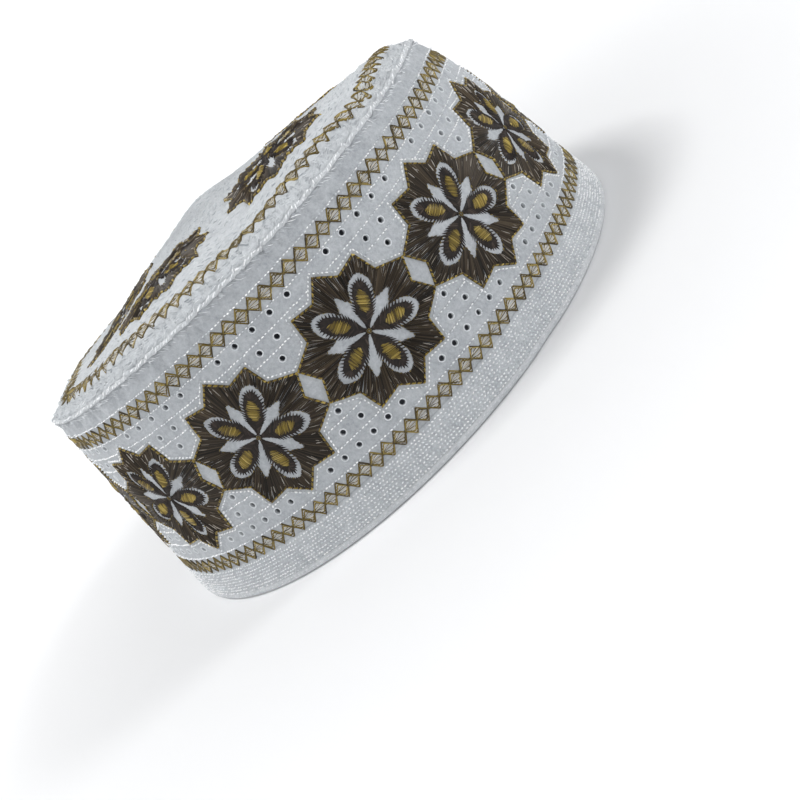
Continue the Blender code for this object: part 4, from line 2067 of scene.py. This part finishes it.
@dataclass(frozen=True)
class Studio:
    """The photograph's camera, the soft lights and the pale floor."""

    lens: float = 66.97
    target: tuple[float, float, float] = (0.0, 0.0, 0.045)
    distance: float = 0.4786
    elevation: float = 12.415
    roll: float = -46.958
    yaw: float = 4.1073
    pitch: float = -4.5229
    floor_sides: int = 96
    # The floor's painted glow by distance from the cap's axis: faint under and beside the cap,
    # brighter further out.
    floor_painted_glow: tuple[tuple[float, Colour], ...] = (
        (0.030, (0.012, 0.013, 0.016)),
        (0.055, (0.020, 0.020, 0.022)),
        (0.12, (0.16, 0.16, 0.16)),
        (0.40, (0.42, 0.42, 0.42)),
        (0.95, (0.60, 0.60, 0.60)),
    )

    def camera(self) -> None:
        """Makes the camera, turned on its own axis as the photograph is."""
        lift = math.radians(self.elevation)
        roll, yaw, pitch = (math.radians(part) for part in (self.roll, self.yaw, self.pitch))
        back = Vector((0.0, -math.cos(lift), math.sin(lift)))
        right = Vector((1.0, 0.0, 0.0))
        up = Vector((0.0, math.sin(lift), math.cos(lift)))
        rolled = right * math.cos(roll) + up * math.sin(roll)
        raised = up * math.cos(roll) - right * math.sin(roll)
        ahead = -back
        across = rolled * math.cos(yaw) - ahead * math.sin(yaw)
        ahead = rolled * math.sin(yaw) + ahead * math.cos(yaw)
        above = raised * math.cos(pitch) - ahead * math.sin(pitch)
        ahead = raised * math.sin(pitch) + ahead * math.cos(pitch)
        data = bpy.data.cameras.new("photo_camera")
        data.lens = self.lens
        data.sensor_width = 36.0
        data.clip_start = 0.01
        data.clip_end = 20.0
        camera = bpy.data.objects.new("photo_camera", data)
        turned = Matrix((across, above, -ahead)).transposed().to_4x4()
        turned.translation = Vector(self.target) + back * self.distance
        camera.matrix_world = turned
        bpy.context.scene.collection.objects.link(camera)
        bpy.context.scene.camera = camera

    def light(
        self,
        name: str,
        place: tuple[float, float, float],
        size: float,
        power: float,
        colour: Colour,
    ) -> None:
        """Makes one soft light that looks at the cap.

        Args:
            name: Its name.
            place: Where it is.
            size: The length of its sides.
            power: Its power in watts.
            colour: Its colour.
        """
        data = bpy.data.lights.new(name, "AREA")
        data.shape = "SQUARE"
        data.size = size
        data.energy = power
        data.color = colour
        lamp = bpy.data.objects.new(name, data)
        lamp.location = place
        aim = Vector(self.target) - Vector(place)
        lamp.rotation_euler = aim.to_track_quat("-Z", "Y").to_euler()
        bpy.context.scene.collection.objects.link(lamp)

    def floor(self) -> None:
        """Makes the pale floor, curved up into a backdrop all round, with a painted glow: it
        shines faintly under and beside the cap, as painted shadow, and more brightly further out,
        lighting the cap from below.
        """
        parts = MeshParts()
        reach = np.concatenate([[0.0, 0.2, 0.5, 1.0], 1.6 + 1.2 * np.sin(np.linspace(0, 1.4, 12))])
        height = np.concatenate([np.zeros(4), 1.3 - 1.3 * np.cos(np.linspace(0, 1.4, 12))])
        reach = np.append(reach, reach[-1] + 0.1)
        height = np.append(height, height[-1] + 1.2)
        turns = np.linspace(0, 2 * math.pi, self.floor_sides, endpoint=False)
        level = np.ones(self.floor_sides)
        points = [
            np.stack([out * np.cos(turns), out * np.sin(turns), up * level], axis=-1)
            for out, up in zip(reach, height)
        ]
        number = np.arange(self.floor_sides * len(reach)).reshape(len(reach), -1)
        ahead = np.roll(number, -1, axis=1)
        faces = np.stack([number[:-1], number[1:], ahead[1:], ahead[:-1]], axis=-1).reshape(-1, 4)
        parts.add(np.concatenate(points) - np.array([0.0, 0.0, 0.00002]), faces)
        graph = Graph("pale_floor_painted_glow")
        cloudy = graph.noise(3.0, 2.0)
        colour = graph.blend(cloudy, (0.80, 0.805, 0.81), (0.82, 0.82, 0.825))
        place = graph.node("ShaderNodeTexCoord")
        split = graph.node("ShaderNodeSeparateXYZ", None, {0: graph.wire(place, "Object")})
        x, y = graph.wire(split, 0), graph.wire(split, 1)
        out = graph.maths("SQRT", x * x + y * y)
        # Painted glow: the floor's emission, by distance from the cap's axis.
        near = graph.ramp(out * 0.5, self.floor_painted_glow)
        constants = {"Specular IOR Level": 0.1, "Emission Color": near, "Emission Strength": 1.0}
        material = graph.finish(colour, cloudy, 0.0001, 0.95, constants)
        parts.build("pale_floor_painted_glow", [material])

    def world(self) -> None:
        """Makes the pale sky that fills the shadows."""
        world = bpy.data.worlds.new("soft_sky")
        world.use_nodes = True
        background = world.node_tree.nodes["Background"]
        background.inputs["Color"].default_value = (0.95, 0.975, 1.0, 1.0)
        background.inputs["Strength"].default_value = 0.16
        bpy.context.scene.world = world

    def build(self) -> None:
        """Sets up the camera, the lights, the sky and the floor."""
        bpy.context.scene.view_settings.view_transform = "Standard"
        self.camera()
        self.world()
        self.floor()
        self.light("top_softbox", (-0.35, 0.05, 1.05), 0.30, 6.2, (1.0, 1.0, 1.0))
        self.light("front_softbox", (-0.85, -0.75, 0.85), 0.4, 0.5, (1.0, 0.995, 0.99))
        self.light("right_softbox", (0.95, -0.35, 0.75), 0.25, 4.0, (0.98, 0.99, 1.0))


def main() -> None:
    """Builds the studio and then the cap, from the rim up."""
    logging.basicConfig(level=logging.INFO, format="%(message)s")
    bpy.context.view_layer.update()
    Studio().build()
    wardrobe = Wardrobe()
    surface = CapSurface()
    cutter = ClothCutter(surface)
    plan = CapPlan(surface)
    shape = StarShape()
    top_shape = StarShape(reach=0.0203, side_turn=18.0, side_reach=1.0, side_notch=0.80)
    RimFold(cutter).build(wardrobe)
    HemBand(cutter).build(wardrobe)
    SideBand(cutter, plan).build(wardrobe)
    CrownSeam(cutter).build(wardrobe)
    TopPanel(cutter).build(wardrobe)
    star = StarFlower(shape)
    for number in range(plan.stars):
        chart = SideChart(surface, plan.star_bearing(number), plan.star_run)
        star.build(f"side_star_{number + 1:02d}", chart, 0.0, 100 + number, wardrobe)
    top_star = StarFlower(top_shape, painted_sheen_streaks=26, painted_sheen_tone=0.0)
    for number, bearing in enumerate(plan.top_bearings):
        chart = TopChart(surface, bearing, plan.top_reach)
        top_star.build(f"top_star_{number + 1}", chart, 180.0, 200 + number, wardrobe)
    ChainLine(surface, "lower_chain", 0.01435, 129).build(301, wardrobe)
    ChainLine(surface, "upper_chain", 0.0675, 119).build(302, wardrobe)
    ring_sway = (-0.0036, 37.0, 7.5)
    ChainLine(surface, "top_ring_chain", 0.0854, 106, 0.0062, sway=ring_sway).build(303, wardrobe)
    rows = StitchRows(surface, plan, shape, top_shape)
    rows.hem_rows(wardrobe)
    rows.wall_rows(wardrobe)
    rows.seam_rows(wardrobe)
    rows.top_rows(wardrobe)
    EyeletRims(surface, plan).build(wardrobe)


if __name__ == "__main__":
    main()
